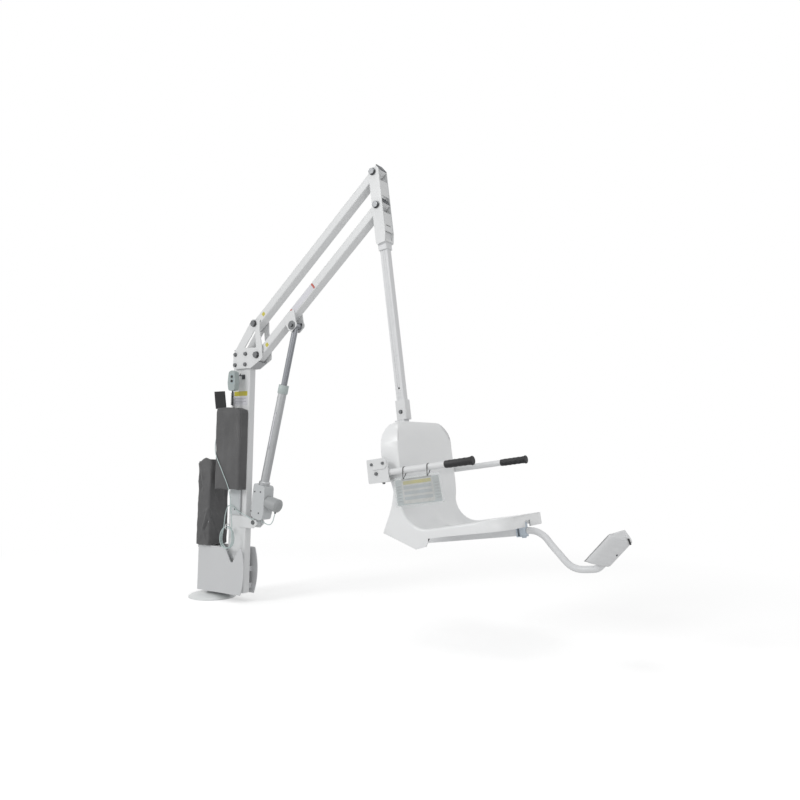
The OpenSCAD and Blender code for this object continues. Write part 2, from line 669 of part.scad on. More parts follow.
module upper_arm_tube() color("white") at_arm(true) arm_tube();
module upper_arm_caps() color("dimgray") at_arm(true) arm_caps();
module upper_arm_bushes() color("gray") at_arm(true) arm_bushes();
module rod_clevis() color("white") at_arm() both_sides() difference() {
    union() {
        slab(arm_w / 2 + seat_gap, arm_w / 2 + seat_gap + clevis_t) polygon(rounded([
            [clevis_s - 35, -clevis_drop, 26], [clevis_s - 32, -clevis_drop - 27, 24],
            [clevis_s + 30, -clevis_drop - 27, 24],
            [clevis_s + 37, -clevis_drop, 20], [clevis_s + 70, -4, 8], [clevis_s + 48, 10, 10],
            [clevis_s - 16, 8, 10], [clevis_s - 30, -20, 20]]));
    }
    translate([clevis_s, 0, -clevis_drop]) {
        for (s = [-1, 1]) pin(s * (slot_half - slot_up), 0, 2 * slot_up, 0, arm_w);
        block(slot_up - slot_half, slot_half - slot_up, 0, arm_w, -slot_up, slot_up);
    }
}

// Actuator
module gear_case() color("gainsboro") at_actuator() {
    half = case_w / 2;
    intersection() {
        slab(-half, half) polygon(rounded([[-47, case_top - 20, 8], [-43, case_top, 10], [36, case_top, 12],
            [44, case_top - 12, 12], [70, can_z - 62, 20], [64, case_bottom + 8, 12], [48, case_bottom, 8],
            [-2, case_bottom, 10], [-26, case_bottom + 24, 12], [-31, case_bottom + 60, 30]]));
        translate([-50, 0, 0]) rounded_bar_y(123, case_w, case_top + 20, 12);
    }
    difference() {
        union() {
            pin(0, 0, 40, -mast_w / 2 + 0.6, mast_w / 2 - 0.6);
            block(-14, 14, -mast_w / 2 + 0.6, mast_w / 2 - 0.6, 0, case_bottom + 4);
        }
        pin(0, 0, act_pin_d + 2 * run_fit, -mast_w, mast_w);
    }
}
// Bar of plan length by width with rounded upright edges
module rounded_bar_y(length, w, h, r) {
    translate([0, -w / 2 + r, 0]) cube([length, w - 2 * r, h]);
    translate([r, -w / 2, 0]) cube([length - 2 * r, w, h]);
    for (x = [r, length - r], y = [-1, 1]) translate([x, y * (w / 2 - r), 0]) cylinder(r = r, h = h);
}
module motor_can() color("gainsboro") at_actuator() difference() {
    translate([40, 0, can_z]) rotate([0, 90, 0]) union() {
        cylinder(d = can_d, h = can_reach - 40 - 10);
        translate([0, 0, can_reach - 50]) cylinder(d1 = can_d, d2 = can_d - 24, h = 10);
    }
    translate([seat_gap, 0, 0]) slab(-case_w, case_w) polygon([[-47, case_top], [44, case_top],
        [44, case_top - 12], [70, can_z - 62], [70, case_bottom], [-47, case_bottom]]);
}
module actuator_tube() color("darkgray") at_actuator() {
    z0 = case_top + seat_gap;
    difference() {
        union() {
            translate([0, 0, z0]) cylinder(d = tube_d, h = tube_top - z0);
            translate([0, 0, z0]) cylinder(d = tube_d + 14, h = 16);
            translate([0, 0, z0 + 16]) cylinder(d1 = tube_d + 14, d2 = tube_d, h = 6);
            translate([0, 0, tube_top - collar_len + 22]) cylinder(d = collar_d, h = collar_len);
        }
        translate([0, 0, z0 + 20]) cylinder(d = tube_d - 2 * tube_t, h = tube_top - z0 - 20 - 10);
        translate([0, 0, z0 + 20]) cylinder(d = rod_d + 2 * run_fit, h = act_len);
    }
}
module actuator_rod() color("silver") at_actuator() {
    low = tube_top - rod_inside;
    difference() {
        union() {
            translate([0, 0, low]) cylinder(d = rod_d, h = act_len - low);
            translate([0, 0, low]) cylinder(d = tube_d - 2 * tube_t - 2 * run_fit, h = 20);
            pin(0, act_len, rod_d + 4, -arm_w / 2 + seat_gap, arm_w / 2 - seat_gap);
        }
        pin(0, act_len, act_pin_d + 2 * run_fit, -arm_w, arm_w);
    }
}
module rod_pin() color("silver") at_actuator() {
    y = arm_w / 2 + 2 * seat_gap + clevis_t;
    head = 8;
    pin(0, act_len, act_pin_d, -y - 2 - head, y + 2 + head);
    both_ends(-y, y) {
        pin(0, act_len, 2 * (slot_half + 1.6), -2, 0);
        translate([0, -2, act_len]) rotate([90, 0, 0]) cylinder(d = 22, h = head, $fn = 6);
    }
}
lead = [[44, -10, case_bottom - 0.5], [44.5, -10, case_bottom - 6], [52, -10, case_bottom - 11],
    [72, -10, case_bottom - 12], [96, -9, case_bottom - 13], [114, -8, case_bottom - 6], [124, -6, case_bottom + 14],
    [125, -3, case_bottom + 40], [124, 0, can_z - can_d / 2 - 8], [124, 0, can_z - can_d / 2 - 0.5]];
module motor_cable() color("powderblue") at_actuator() sweep(spline(lead, 3), cable_d, 8, [0, 1, 0]);

// Hanger
module apex_plates() color("white") at_apex() both_sides() difference() {
    slab(plate_in, plate_w / 2) polygon(rounded([
        [-apex_back, -apex_low + 6, 3], [-apex_back + 6, -apex_low, 3], [apex_front - 9, -apex_low + 4, 6],
        [apex_front, -apex_low + 60, 20], [apex_front, link_len + apex_high - 16, 10],
        [apex_front - 22, link_len + apex_high, 12], [-apex_back, link_len + apex_high - 4, 12]]));
    for (v = [0, link_len]) pin(0, v, pin_d + 2 * run_fit, 0, plate_w);
}
module apex_web() color("gainsboro") at_apex() {
    half = plate_in - seat_gap;
    block(apex_front - 5, apex_front - 1, -half, half, 46, link_len - 56);
    difference() {
        block(apex_front - 5, apex_front - 1, -half, half, -apex_low + 62, -47);
        block(apex_front - 9, apex_front + 5, -half + 14, half - 14, -126, -118);
    }
    difference() {
        block(tube_u / 2 + 3 + seat_gap, apex_front - 6, -half, half, -apex_low + 6, -apex_low + 100);
        block(0, apex_front, -half + 8, half - 8, -apex_low + 20, -apex_low + 86);
    }
}
module apex_pins() color("silver") at_apex() for (v = [0, link_len])
    cross_bolt(0, v, pin_d, -plate_w / 2, plate_w / 2);
module post_tube() color("whitesmoke") at_apex() difference() {
    translate([0, 0, -hang_len + 6]) rotate([0, -90, 0]) box_tube(hang_len - 6 - 56, tube_y, tube_u, hang_t, 5);
    for (v = [-hang_len + 40, -hang_len + 163, -apex_low + 50]) pin(0, v, 10 + 2 * bolt_fit, -tube_y, tube_y);
}
module post_collar() color("whitesmoke") at_apex() difference() {
    union() {
        translate([0, 0, -apex_low - collar_h]) rotate([0, -90, 0])
            rounded_bar(collar_h + 10, tube_y + 18, tube_u + 6, 5);
        translate([0, 0, -apex_low]) rotate([0, -90, 0]) rounded_bar(120, 2 * (plate_in - seat_gap), tube_u + 6, 5);
    }
    translate([0, 0, -apex_low - collar_h - 1]) rotate([0, -90, 0])
        rounded_bar(collar_h + 122, tube_y + 2 * seat_gap, tube_u + 2 * seat_gap, 5);
    pin(0, -apex_low + 50, 10 + 2 * bolt_fit, -plate_w, plate_w);
}
module seat_sleeve() color("white") at_seat() difference() {
    rotate([0, -90, 0]) rounded_bar(sleeve_len, tube_y + 2 * (seat_gap + sleeve_t),
        tube_u + 2 * (seat_gap + sleeve_t) + 1, 7);
    translate([0, 0, 3]) rotate([0, -90, 0]) rounded_bar(sleeve_len, tube_y + 2 * seat_gap, tube_u + 2 * seat_gap, 5);
    pin(0, 40, 10 + 2 * bolt_fit, -plate_w, plate_w);
}
sleeve_half = tube_y / 2 + seat_gap + sleeve_t;
bracket_y = arm_y + rest_d / 2 + 2;
plate_far = bracket_y + bracket_t + pad_t;
module seat_bolts() color("silver") {
    at_apex() {
        y = plate_in - 2 * seat_gap;
        pin(0, -apex_low + 50, 10, -y, y);
    }
    at_seat() {
        cross_bolt(0, 40, 10, -sleeve_half, sleeve_half);
        both_sides() {
            for (u = bracket_bolts) {
                pin(u, -bracket_top - 25, 8, bracket_y - 1, plate_far + 6);
                translate([u, plate_far + seat_gap + 5, -bracket_top - 25]) rotate([90, 0, 0])
                    cylinder(d = 15, h = 5, $fn = 6);
            }
            pin(arm_u, -arm_v, rest_bolt_d, arm_y - rest_d / 2 - 5, bracket_y + bracket_t + 2);
            translate([arm_u, bracket_y + bracket_t + seat_gap + 6, -arm_v]) rotate([90, 0, 0])
                cylinder(d = 18, h = 6, $fn = 6);
            translate([arm_u, arm_y - rest_d / 2 - seat_gap, -arm_v]) rotate([90, 0, 0])
                cylinder(d = 16, h = 5, $fn = 6);
            translate([arm_u + 23, arm_y + 2, stop_v - 8])
                cylinder(d = 8, h = -arm_v - rest_d / 2 - seat_gap - stop_v + 8);
            translate([arm_u + 23, arm_y + 2, stop_v - 7 - seat_gap]) cylinder(d = 15, h = 7, $fn = 6);
        }
    }
}
bracket_low = arm_v + 43;
bracket_bolts = [31 - bracket_back, bracket_front - 22];
stop_v = -bracket_low;
module arm_brackets() color("white") at_seat() both_sides() difference() {
    union() {
        slab(bracket_y, bracket_y + bracket_t) polygon(rounded([[-bracket_back, -bracket_top, 4],
            [bracket_front, -bracket_top, 30], [bracket_front, -bracket_low, 8], [-bracket_back, -bracket_low, 8]]));
        translate([0, 0, -bracket_top - 5]) slab(bracket_y + 1, plate_far)
            polygon(rounded([[21 - bracket_back, 0, 21], [bracket_front - 4, 0, 21], [bracket_front - 4, -46, 21],
                [21 - bracket_back, -46, 21]]));
        block(arm_u + 8, bracket_front - 1, arm_y - rest_d / 2 - 4, bracket_y + 1, stop_v, stop_v + bracket_t);
    }
    for (u = bracket_bolts) pin(u, -bracket_top - 25, 8 + 2 * bolt_fit, 0, plate_far + 1);
    pin(arm_u, -arm_v, rest_bolt_d + 2 * run_fit, bracket_y - 1, plate_far + 1);
    translate([arm_u + 23, arm_y + 2, stop_v - 1]) cylinder(d = 8 + 2 * bolt_fit, h = 20);
}
module seat_frame() color("whitesmoke") at_seat() {
    c = (frame_front - frame_back) / 2;
    depth = frame_front + frame_back;
    difference() {
        union() {
            translate([c, 0, -rail_v - 1]) rotate([0, -90, 0]) rounded_bar(rail_v + 1 - seat_gap, 50, depth, 6);
            block(frame_front - frame_back - 16, frame_front - 31.5, seat_gap - bracket_y, bracket_y - seat_gap,
                -bracket_top - 50, -bracket_top - 6);
            block(-frame_back, foot_u - foot_hub_d / 2 - 8, -20, 20, -rail_v - rail_h, -rail_v);
            for (v = [-110, -390]) block(0, min(back_face(v), back_face(v + 30)) - seat_gap, -30, 30, v, v + 30);
            for (u = [270, 480])
                block(u, u + 30, -14, 14, -rail_v - 2, min(pan_face(u), pan_face(u + 30)) - seat_gap);
        }
        translate([c, 0, -rail_v + 8]) rotate([0, -90, 0])
            rounded_bar(rail_v, 50 - 2 * hang_t, depth - 2 * hang_t, 3);
        block(-60, foot_u - foot_hub_d / 2 - 12, -16, 16, -rail_v - rail_h + 4, -rail_v - 4);
    }
}
module footrest_fork() color("lightsteelblue") at_seat() {
    r = foot_hub_d / 2;
    u0 = foot_u - r - 8 + seat_gap;
    for (v = [-hub_top + seat_gap, -hub_top - hub_len - 4 - seat_gap]) {
        translate([foot_u, 0, v]) cylinder(r = r, h = 4);
        block(u0, foot_u, -r + 1, r - 1, v, v + 4);
    }
    block(u0, u0 + 5, -r + 1, r - 1, -hub_top - hub_len - 4 - seat_gap, -hub_top + seat_gap + 4);
    translate([foot_u, 0, -hub_top - hub_len - 10]) cylinder(d = foot_pin_d, h = hub_len + 14);
    translate([foot_u, 0, -hub_top - hub_len - 10]) cylinder(d = 24, h = 6, $fn = 6);
}

// Seat shell: closed cuts across the seat, lofted from one side to the other
function back_lean(v) = v > -120 ? 24 * pow((v + 120) / 95, 2) : (v < -330 ? 11 * pow((v + 330) / 95, 2) : 0);
function front_u(v) = back_u - back_lean(v);
function rear_u(v) = frame_front + (v > -122 ? 60 * (1 - sqrt(1 - pow(min((v + 122) / (122 - back_top), 1), 2))) : 0);
crown_y = shell_half - 90;
function crown(y, t) = -186 + (160 - t + 26 - back_top) * sqrt(max(0, 1 - pow(max(y - crown_y, 0) / (90 - t), 2)));
function plan_u(y, t) = let(k = max(y - shell_half + corner_r, 0) / (corner_r - t))
    pan_front - corner_r + (corner_r - t) * sqrt(max(0, 1 - k * k));
function pan_level(u) = -pan_v + pan_rise * max(0, (u - 226) / (pan_front - 226));
function soft(x) = let(t = max(0, min(1, x))) t * t * (3 - 2 * t);
function well(y) = soft((shell_half - 20 - y) / 44) * (1 - 0.7 * exp(-pow(y / 45, 2)));
function edge_drop(y) = let(d = y - shell_half + edge_r) d > 0 ? edge_r - sqrt(max(0, edge_r * edge_r - d * d)) : 0;
fillet_u = 226;
fillet_v = 425;
fillet_a = fillet_u - back_u + 11;
fillet_b = pan_v - fillet_v;
// Point k of 0..1 round the fillet and along the pan, pushed in by w
function bowl(k, y, t) = let(drop = edge_drop(y) + t, d = well_depth * well(y))
    k < 0.45 ? let(a = 200 * k, w = drop + d * soft((a - 15) / 55))
        [fillet_u - fillet_a * cos(a) - w * cos(a), -fillet_v - fillet_b * sin(a) - w * sin(a)]
    : let(s = (k - 0.45) / 0.55, u = fillet_u + s * (plan_u(y, t) - fillet_u),
        w = drop + d * soft(1 - (u - fillet_u - 30) / 190))
        [u, pan_level(u) - w];
function front_edge(y, t, n) = let(top = crown(y, t)) [for (i = [0:n]) let(v = top - (top + fillet_v) * i / n)
    [front_u(v) - t - edge_drop(y), v]];
back_n = 8;
bowl_n = 18;
heel_edge = [[220, -602], [206, -623], [151, -632], [70, -591], [-19.5, -546], [-1, -511], [22, -470], [41, -432]];
rear_edge = [[54, -396], [63, -362], [60, -340], [56, -320], [44, -285], [30, -240], [17, -205]];
function outer_cut(y) = concat([[rear_u(crown(y, 0)), crown(y, 0)]], front_edge(y, 0, back_n),
    [for (i = [1:bowl_n]) bowl(i / bowl_n, y, 0)], [[plan_u(y, 0), -skirt_v]]);
function hollow_cut(y) = concat([[plan_u(y, shell_t), -skirt_v]],
    [for (i = [bowl_n:-1:1]) bowl(i / bowl_n, y, shell_t)],
    [for (i = [back_n:-1:0]) front_edge(y, shell_t, back_n)[i]], [[rear_u(crown(y, shell_t)), crown(y, shell_t)]]);
function side_cut(y) = let(m = bowl_n - len(heel_edge), z = y - 0.3,
    front = min(plan_u(y, 0), plan_u(z, shell_t)) - 1, low = min(crown(y, 0), crown(z, shell_t)) - 3) concat(
    [for (i = [0:m]) [front + (heel_edge[0].x + 2 - front) * i / m, -skirt_v - 4 * pow(i / m, 2)]],
    heel_edge, rear_edge, [[frame_front + 1, low - 8], [frame_front + 0.4, low - 4], [frame_front, low]]);
function cut(y, solid) = let(a = abs(y))
    [for (p = concat(outer_cut(a), solid ? side_cut(a) : hollow_cut(a))) [p.x, y, p.y]];
half_cuts = [[shell_half, true], [shell_half - 0.7, true], [shell_half - 2.5, true], [shell_half - shell_t, true],
    [shell_half - shell_t - 0.3, false], [shell_half - 12, false], [shell_half - 22, false], [shell_half - 36, false],
    [shell_half - 54, false], [shell_half - 76, false], [shell_half - 100, false], [shell_half - 132, false],
    [90, false], [60, false], [30, false]];
// Inner faces of the shell where the frame's pads and posts carry it
function back_face(v) = lookup(v, [for (p = front_edge(0, shell_t, back_n)) [p[1], p[0]]]);
function pan_cut(y) = [for (i = [9:bowl_n]) let(p = bowl(i / bowl_n, y, shell_t)) [p[0], p[1]]];
function pan_face(u) = 0.45 * lookup(u, pan_cut(0)) + 0.55 * lookup(u, pan_cut(30));
module seat_shell() color("white") at_seat() difference() {
    loft(concat([for (h = half_cuts) cut(-h[0], h[1])], [cut(0, false)],
        [for (i = [len(half_cuts) - 1:-1:0]) cut(half_cuts[i][0], half_cuts[i][1])]), true);
    block(foot_u - foot_hub_d / 2 - 14, pan_front + 20, -foot_hub_d / 2 - 8, foot_hub_d / 2 + 8,
        -skirt_v - 20, 12 - hub_top);
}

// Armrests
module rest_tube() {
    end = grip_u + grip_len - 8;
    difference() {
        union() {
            translate([arm_u, arm_y, -arm_v]) rotate([0, 90, 0]) cylinder(d = rest_d, h = end - arm_u);
            pin(arm_u, -arm_v, rest_d + 3, arm_y - rest_d / 2, arm_y + rest_d / 2);
        }
        translate([arm_u + 40, arm_y, -arm_v]) rotate([0, 90, 0]) cylinder(d = rest_d - 2 * rest_t, h = end);
        pin(arm_u, -arm_v, rest_bolt_d + 2 * run_fit, arm_y - rest_d, arm_y + rest_d);
    }
}
module rest_grip() translate([grip_u, arm_y, -arm_v]) rotate([0, 90, 0]) difference() {
    rotate_extrude($fn = 32) polygon(concat([[0, 0], [grip_d / 2 - 1, 0]],
        [for (i = [1:15]) [grip_d / 2 + 0.7 * cos(360 * i / 3), (grip_len - 10) * i / 16]],
        [[grip_d / 2, grip_len - 10], [grip_d / 2 + 3, grip_len - 8], [grip_d / 2 + 3, grip_len - 3],
         [grip_d / 2, grip_len],
         [0, grip_len]]));
    translate([0, 0, -1]) cylinder(d = rest_d + 2 * seat_gap, h = grip_len - 8 + 1 + seat_gap);
}
module near_side() mirror([0, 1, 0]) children();
module armrest_near_tube() color("white") at_seat() translate([0, -2 * arm_y, 0]) rest_tube();
module armrest_near_grip() color("black") at_seat() translate([0, -2 * arm_y, 0]) rest_grip();
module armrest_far_tube() color("white") at_seat() rest_tube();
module armrest_far_grip() color("black") at_seat() rest_grip();
tie_u = [pouch_u + 55, pouch_u + 186];
pouch_y = arm_y + rest_d / 2 + 1.5;
pouch_top = arm_v + 30;
pouch_low = arm_v + pouch_drop;
module document_pouch() color("lightcyan") at_seat() near_side() difference() {
    slab(pouch_y, pouch_y + 3) polygon(rounded([[pouch_u, -pouch_top, 4],
        [pouch_u + pouch_len - 9, -pouch_top + 2, 4], [pouch_u + pouch_len, 1 - pouch_low, 4],
        [pouch_u + 6, -pouch_low, 4]]));
    for (u = tie_u) block(u - 3, u + 3, pouch_y - 1, pouch_y + 4, -pouch_top - 11, -pouch_top - 4);
}
module pouch_ties() color("black") at_seat() near_side() for (u = tie_u) translate([u - 2, 0, 0])
    rotate([90, 0, 90]) linear_extrude(4) difference() {
        tie_loop(rest_d / 2 + 2.2, 4.1);
        tie_loop(rest_d / 2 + 0.5, 2.8);
    }
module tie_loop(r0, r1) hull() {
    translate([arm_y, -arm_v]) circle(r = r0, $fn = 32);
    translate([pouch_y + 1.5, -pouch_top - 6]) circle(r = r1, $fn = 16);
}

// Footrest
module footrest_hub() color("lightsteelblue") at_seat() translate([foot_u, 0, -hub_top - hub_len]) difference() {
    cylinder(d = foot_hub_d, h = hub_len);
    translate([0, 0, -1]) cylinder(d = foot_pin_d + 2 * run_fit, h = hub_len + 2);
}
step_route = [[20, -602], [34, -603], [52, -606], [68, -612], [84, -622], [104, -640], [125, -672], [157, -715],
    [184, -752], [205, -770], [226, -780], [250, -785], [283, -786], [306, -786], [324, -781], [340, -770],
    [356, -757]];
step_path = spline([for (p = step_route) [foot_u + p.x, 0, p.y]], 2);
module footrest_tube() color("whitesmoke") at_seat() difference() {
    sweep(step_path, step_d, 20, [0, 1, 0]);
    translate([foot_u, 0, -hub_top - hub_len - 20]) cylinder(d = foot_hub_d + 2 * seat_gap, h = hub_len + 40);
}
// Pad: foot face up, a ridge below, scallops along both flanks
pad_low = [875, -742];
pad_high = [1000, -638];
pad_dir = unit(pad_high - pad_low);
pad_nrm = [pad_dir.y, -pad_dir.x];
pad_len = norm(pad_high - pad_low);
pad_depth = 72;
function flank(k, s) = let(cutin = k > 0.43 ? sin(180 * (k - 0.43) / 0.57) : 0,
    wave = pow(sin(180 * s * scallops), 2))
    step_half * (1 - pow(k, 1.7) * 0.88) - 9 * cutin * wave * (s > 0 && s < 1 ? 1 : 0);
function pad_ring(s) = let(n = 7, end = soft(min(s, 1 - s) / 0.07 + 0.35),
    base = pad_low + pad_dir * pad_len * s, shift = pad_dir * 20 + pad_nrm * pad_depth * end)
    [for (q = concat([for (i = [0:n]) [i / n, -1]], [for (i = [n:-1:0]) [i / n, 1]]))
        let(p = base + shift * q[0]) [p.x, q[1] * flank(q[0], s) * (0.9 + 0.1 * end), p.y]];
module footrest_pad() color("white") at_seat() difference() {
    loft([for (i = [0:30]) pad_ring(i / 30)]);
    n = len(step_path) - 1;
    sweep(concat([for (i = [0:n - 1]) step_path[i]], [step_path[n] + unit(step_path[n] - step_path[n - 1]) * 1.5]),
        step_d + 3 * seat_gap, 20, [0, 1, 0]);
}

anchor_post();
flange_cover();
mast_tube();
mast_cap();
foot_plate_near();
foot_plate_far();
swivel_hub();
swivel_bushes();
foot_spacers();
head_plates();
head_spacers();
head_brace();
head_bolts();
mast_pins();
actuator_mount();
control_box();
control_cover();
cover_strap();
battery_box();
battery_cover();
handset();
handset_hook();
handset_cord();
handset_up_button();
handset_down_button();
actuator_cable();
cable_tie();
lower_arm_tube();
lower_arm_caps();
lower_arm_bushes();
rod_clevis();
upper_arm_tube();
upper_arm_caps();
upper_arm_bushes();
apex_plates();
apex_web();
apex_pins();
post_tube();
post_collar();
seat_sleeve();
seat_bolts();
seat_frame();
footrest_fork();
seat_shell();
arm_brackets();
armrest_near_tube();
armrest_near_grip();
document_pouch();
pouch_ties();
armrest_far_tube();
armrest_far_grip();
footrest_hub();
footrest_tube();
footrest_pad();
gear_case();
motor_can();
actuator_tube();
motor_cable();
actuator_rod();
rod_pin();
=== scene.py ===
import math

import bmesh
import bpy
from mathutils import Matrix, Vector, noise


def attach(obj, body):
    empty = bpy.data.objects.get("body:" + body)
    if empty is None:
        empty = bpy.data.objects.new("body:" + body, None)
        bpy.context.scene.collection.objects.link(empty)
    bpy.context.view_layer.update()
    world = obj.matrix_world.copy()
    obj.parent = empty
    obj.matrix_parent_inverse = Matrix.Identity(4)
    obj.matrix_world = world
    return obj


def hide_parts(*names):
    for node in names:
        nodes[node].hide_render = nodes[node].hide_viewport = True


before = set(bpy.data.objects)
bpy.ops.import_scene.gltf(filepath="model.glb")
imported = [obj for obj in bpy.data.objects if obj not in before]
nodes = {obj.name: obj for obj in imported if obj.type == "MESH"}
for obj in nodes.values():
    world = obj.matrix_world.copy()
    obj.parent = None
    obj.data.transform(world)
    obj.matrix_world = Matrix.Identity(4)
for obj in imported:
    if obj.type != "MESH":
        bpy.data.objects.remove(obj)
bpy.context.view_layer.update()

mm = 0.001
print("frame loaded")


# camera, fitted to the photograph
camera = {"azimuth": 33.5, "rise": 6.0, "roll": 0.5, "focal": 730 / 800, "axisRow": 371,
          "place": (3.4128, -3.1374, 0.8942)}


def addCamera(s):
    a, p, r = (math.radians(s[k]) for k in ("azimuth", "rise", "roll"))
    ahead = Vector((-math.sin(a) * math.cos(p), math.cos(a) * math.cos(p), math.sin(p)))
    side = Vector((math.cos(a), math.sin(a), 0))
    up = side.cross(ahead)
    side, up = side * math.cos(r) + up * math.sin(r), up * math.cos(r) - side * math.sin(r)
    data = bpy.data.cameras.new("camera")
    data.sensor_width = 36
    data.lens = 36 * s["focal"]
    data.shift_y = (s["axisRow"] - 400) / 800
    data.clip_start, data.clip_end = 0.05, 100
    cam = bpy.data.objects.new("camera", data)
    bpy.context.scene.collection.objects.link(cam)
    cam.matrix_world = Matrix((side, up, -ahead)).transposed().to_4x4()
    cam.location = s["place"]
    bpy.context.scene.camera = cam
    return cam


addCamera(camera)


# shared shader effects: each input and output of a group is one number
def newGroup(name, inputs, outputs):
    tree = bpy.data.node_groups.new(name, "ShaderNodeTree")
    for label, value in inputs.items():
        socket = tree.interface.new_socket(label, in_out="INPUT", socket_type="NodeSocketFloat")
        socket.default_value = value
    for label in outputs:
        tree.interface.new_socket(label, in_out="OUTPUT", socket_type="NodeSocketFloat")
    return tree, tree.nodes.new("NodeGroupInput"), tree.nodes.new("NodeGroupOutput")


def link(tree, a, b):
    tree.links.new(a, b)


# a socket takes a number, a colour or the output of another node
def feed(tree, socket, v):
    if isinstance(v, (int, float)):
        socket.default_value = v
    elif isinstance(v, tuple):
        socket.default_value = (*v, 1)
    else:
        link(tree, v, socket)


def calc(tree, op, a, b=None, c=None, clamp=False):
    n = tree.nodes.new("ShaderNodeMath")
    n.operation = op
    n.use_clamp = clamp
    for socket, v in zip(n.inputs, (a, b, c)):
        if v is not None:
            feed(tree, socket, v)
    return n.outputs[0]


def noiseNode(tree, vector, scale, detail=3.0, rough=0.55):
    n = tree.nodes.new("ShaderNodeTexNoise")
    n.noise_dimensions = "3D"
    for k, v in (("Scale", scale), ("Detail", detail), ("Roughness", rough)):
        feed(tree, n.inputs[k], v)
    link(tree, vector, n.inputs["Vector"])
    return n.outputs["Fac"]


def rampNode(tree, value, low, high):
    n = tree.nodes.new("ShaderNodeMapRange")
    n.interpolation_type = "SMOOTHSTEP"
    feed(tree, n.inputs["From Min"], low)
    feed(tree, n.inputs["From Max"], high)
    link(tree, value, n.inputs["Value"])
    return n.outputs["Result"]


# the colour sockets of a mix node are its inputs 6 and 7 and its output 2
def mixColour(tree, fac, a, b):
    n = tree.nodes.new("ShaderNodeMix")
    n.data_type = "RGBA"
    for k, v in ((0, fac), (6, a), (7, b)):
        feed(tree, n.inputs[k], v)
    return n.outputs[2]


def objectCoords(tree):
    return tree.nodes.new("ShaderNodeTexCoord").outputs["Object"]


def stretched(tree, vector, scale, turn=(0, 0, 0)):
    n = tree.nodes.new("ShaderNodeMapping")
    n.inputs["Scale"].default_value = scale
    n.inputs["Rotation"].default_value = turn
    link(tree, vector, n.inputs["Vector"])
    return n.outputs[0]


def makeEdgeWear():
    tree, i, o = newGroup("edgeWear", {"Radius": 0.002, "Amount": 0.5, "Breakup": 60.0}, ["Mask"])
    bevel = tree.nodes.new("ShaderNodeBevel")
    bevel.samples = 4
    link(tree, i.outputs["Radius"], bevel.inputs["Radius"])
    geo = tree.nodes.new("ShaderNodeNewGeometry")
    dot = tree.nodes.new("ShaderNodeVectorMath")
    dot.operation = "DOT_PRODUCT"
    link(tree, bevel.outputs[0], dot.inputs[0])
    link(tree, geo.outputs["Normal"], dot.inputs[1])
    edge = rampNode(tree, calc(tree, "SUBTRACT", 1.0, dot.outputs["Value"]), 0.02, 0.25)
    spots = rampNode(tree, noiseNode(tree, objectCoords(tree), i.outputs["Breakup"], 4), 0.45, 0.62)
    mask = calc(tree, "MULTIPLY", calc(tree, "MULTIPLY", edge, spots), i.outputs["Amount"], clamp=True)
    link(tree, mask, o.inputs["Mask"])
    return tree


# painted crevice shade with dust-like patches: the ambient occlusion mask darkens corners, creases and
# recesses, broken up by patchy noise
def makeCreviceDustAndShade():
    tree, i, o = newGroup("creviceDustAndShade", {"Distance": 0.03, "Amount": 0.4, "Patches": 14.0}, ["Mask"])
    ao = tree.nodes.new("ShaderNodeAmbientOcclusion")
    ao.samples = 6
    link(tree, i.outputs["Distance"], ao.inputs["Distance"])
    shut = rampNode(tree, calc(tree, "SUBTRACT", 1.0, ao.outputs["AO"]), 0.25, 0.85)
    patch = rampNode(tree, noiseNode(tree, objectCoords(tree), i.outputs["Patches"], 5, 0.65), 0.3, 0.7)
    soft = calc(tree, "MULTIPLY_ADD", patch, 0.6, 0.4)
    mask = calc(tree, "MULTIPLY", calc(tree, "MULTIPLY", shut, soft), i.outputs["Amount"], clamp=True)
    link(tree, mask, o.inputs["Mask"])
    return tree


def makeCoatSkin():
    tree, i, o = newGroup("coatSkin", {"Peel": 420.0, "Clouds": 3.0, "Flecks": 220.0},
                          ["Tone", "Gloss", "Height", "Fleck"])
    here = objectCoords(tree)
    clouds = noiseNode(tree, here, i.outputs["Clouds"], 4, 0.6)
    peel = noiseNode(tree, here, i.outputs["Peel"], 2, 0.5)
    smear = noiseNode(tree, stretched(tree, here, (5, 5, 2.2)), 1.6, 3, 0.6)
    fleck = rampNode(tree, noiseNode(tree, here, i.outputs["Flecks"], 1, 0.4), 0.71, 0.76)
    link(tree, clouds, o.inputs["Tone"])
    link(tree, rampNode(tree, smear, 0.35, 0.75), o.inputs["Gloss"])
    link(tree, peel, o.inputs["Height"])
    link(tree, fleck, o.inputs["Fleck"])
    return tree


def makeWeave():
    tree, i, o = newGroup("clothWeave", {"Pitch": 900.0, "Fade": 7.0}, ["Height", "Tone"])
    here = objectCoords(tree)
    parts = tree.nodes.new("ShaderNodeSeparateXYZ")
    link(tree, here, parts.inputs[0])
    across = calc(tree, "MULTIPLY", calc(tree, "ADD", parts.outputs[0], parts.outputs[1]),
                  i.outputs["Pitch"])
    up = calc(tree, "MULTIPLY", parts.outputs[2], i.outputs["Pitch"])
    warp = calc(tree, "ABSOLUTE", calc(tree, "SINE", across))
    weft = calc(tree, "ABSOLUTE", calc(tree, "SINE", up))
    slant = calc(tree, "MULTIPLY", calc(tree, "ADD", across, up), 0.5)
    flip = calc(tree, "GREATER_THAN", calc(tree, "SINE", slant), 0.0)
    a = calc(tree, "MULTIPLY", warp, flip)
    b = calc(tree, "MULTIPLY", weft, calc(tree, "SUBTRACT", 1.0, flip))
    link(tree, calc(tree, "ADD", a, b), o.inputs["Height"])
    faded = noiseNode(tree, here, i.outputs["Fade"], 5, 0.6)
    slub = noiseNode(tree, stretched(tree, here, (60, 60, 900)), 1.0, 2)
    link(tree, calc(tree, "MULTIPLY_ADD", slub, 0.35, calc(tree, "MULTIPLY", faded, 0.65)),
         o.inputs["Tone"])
    return tree


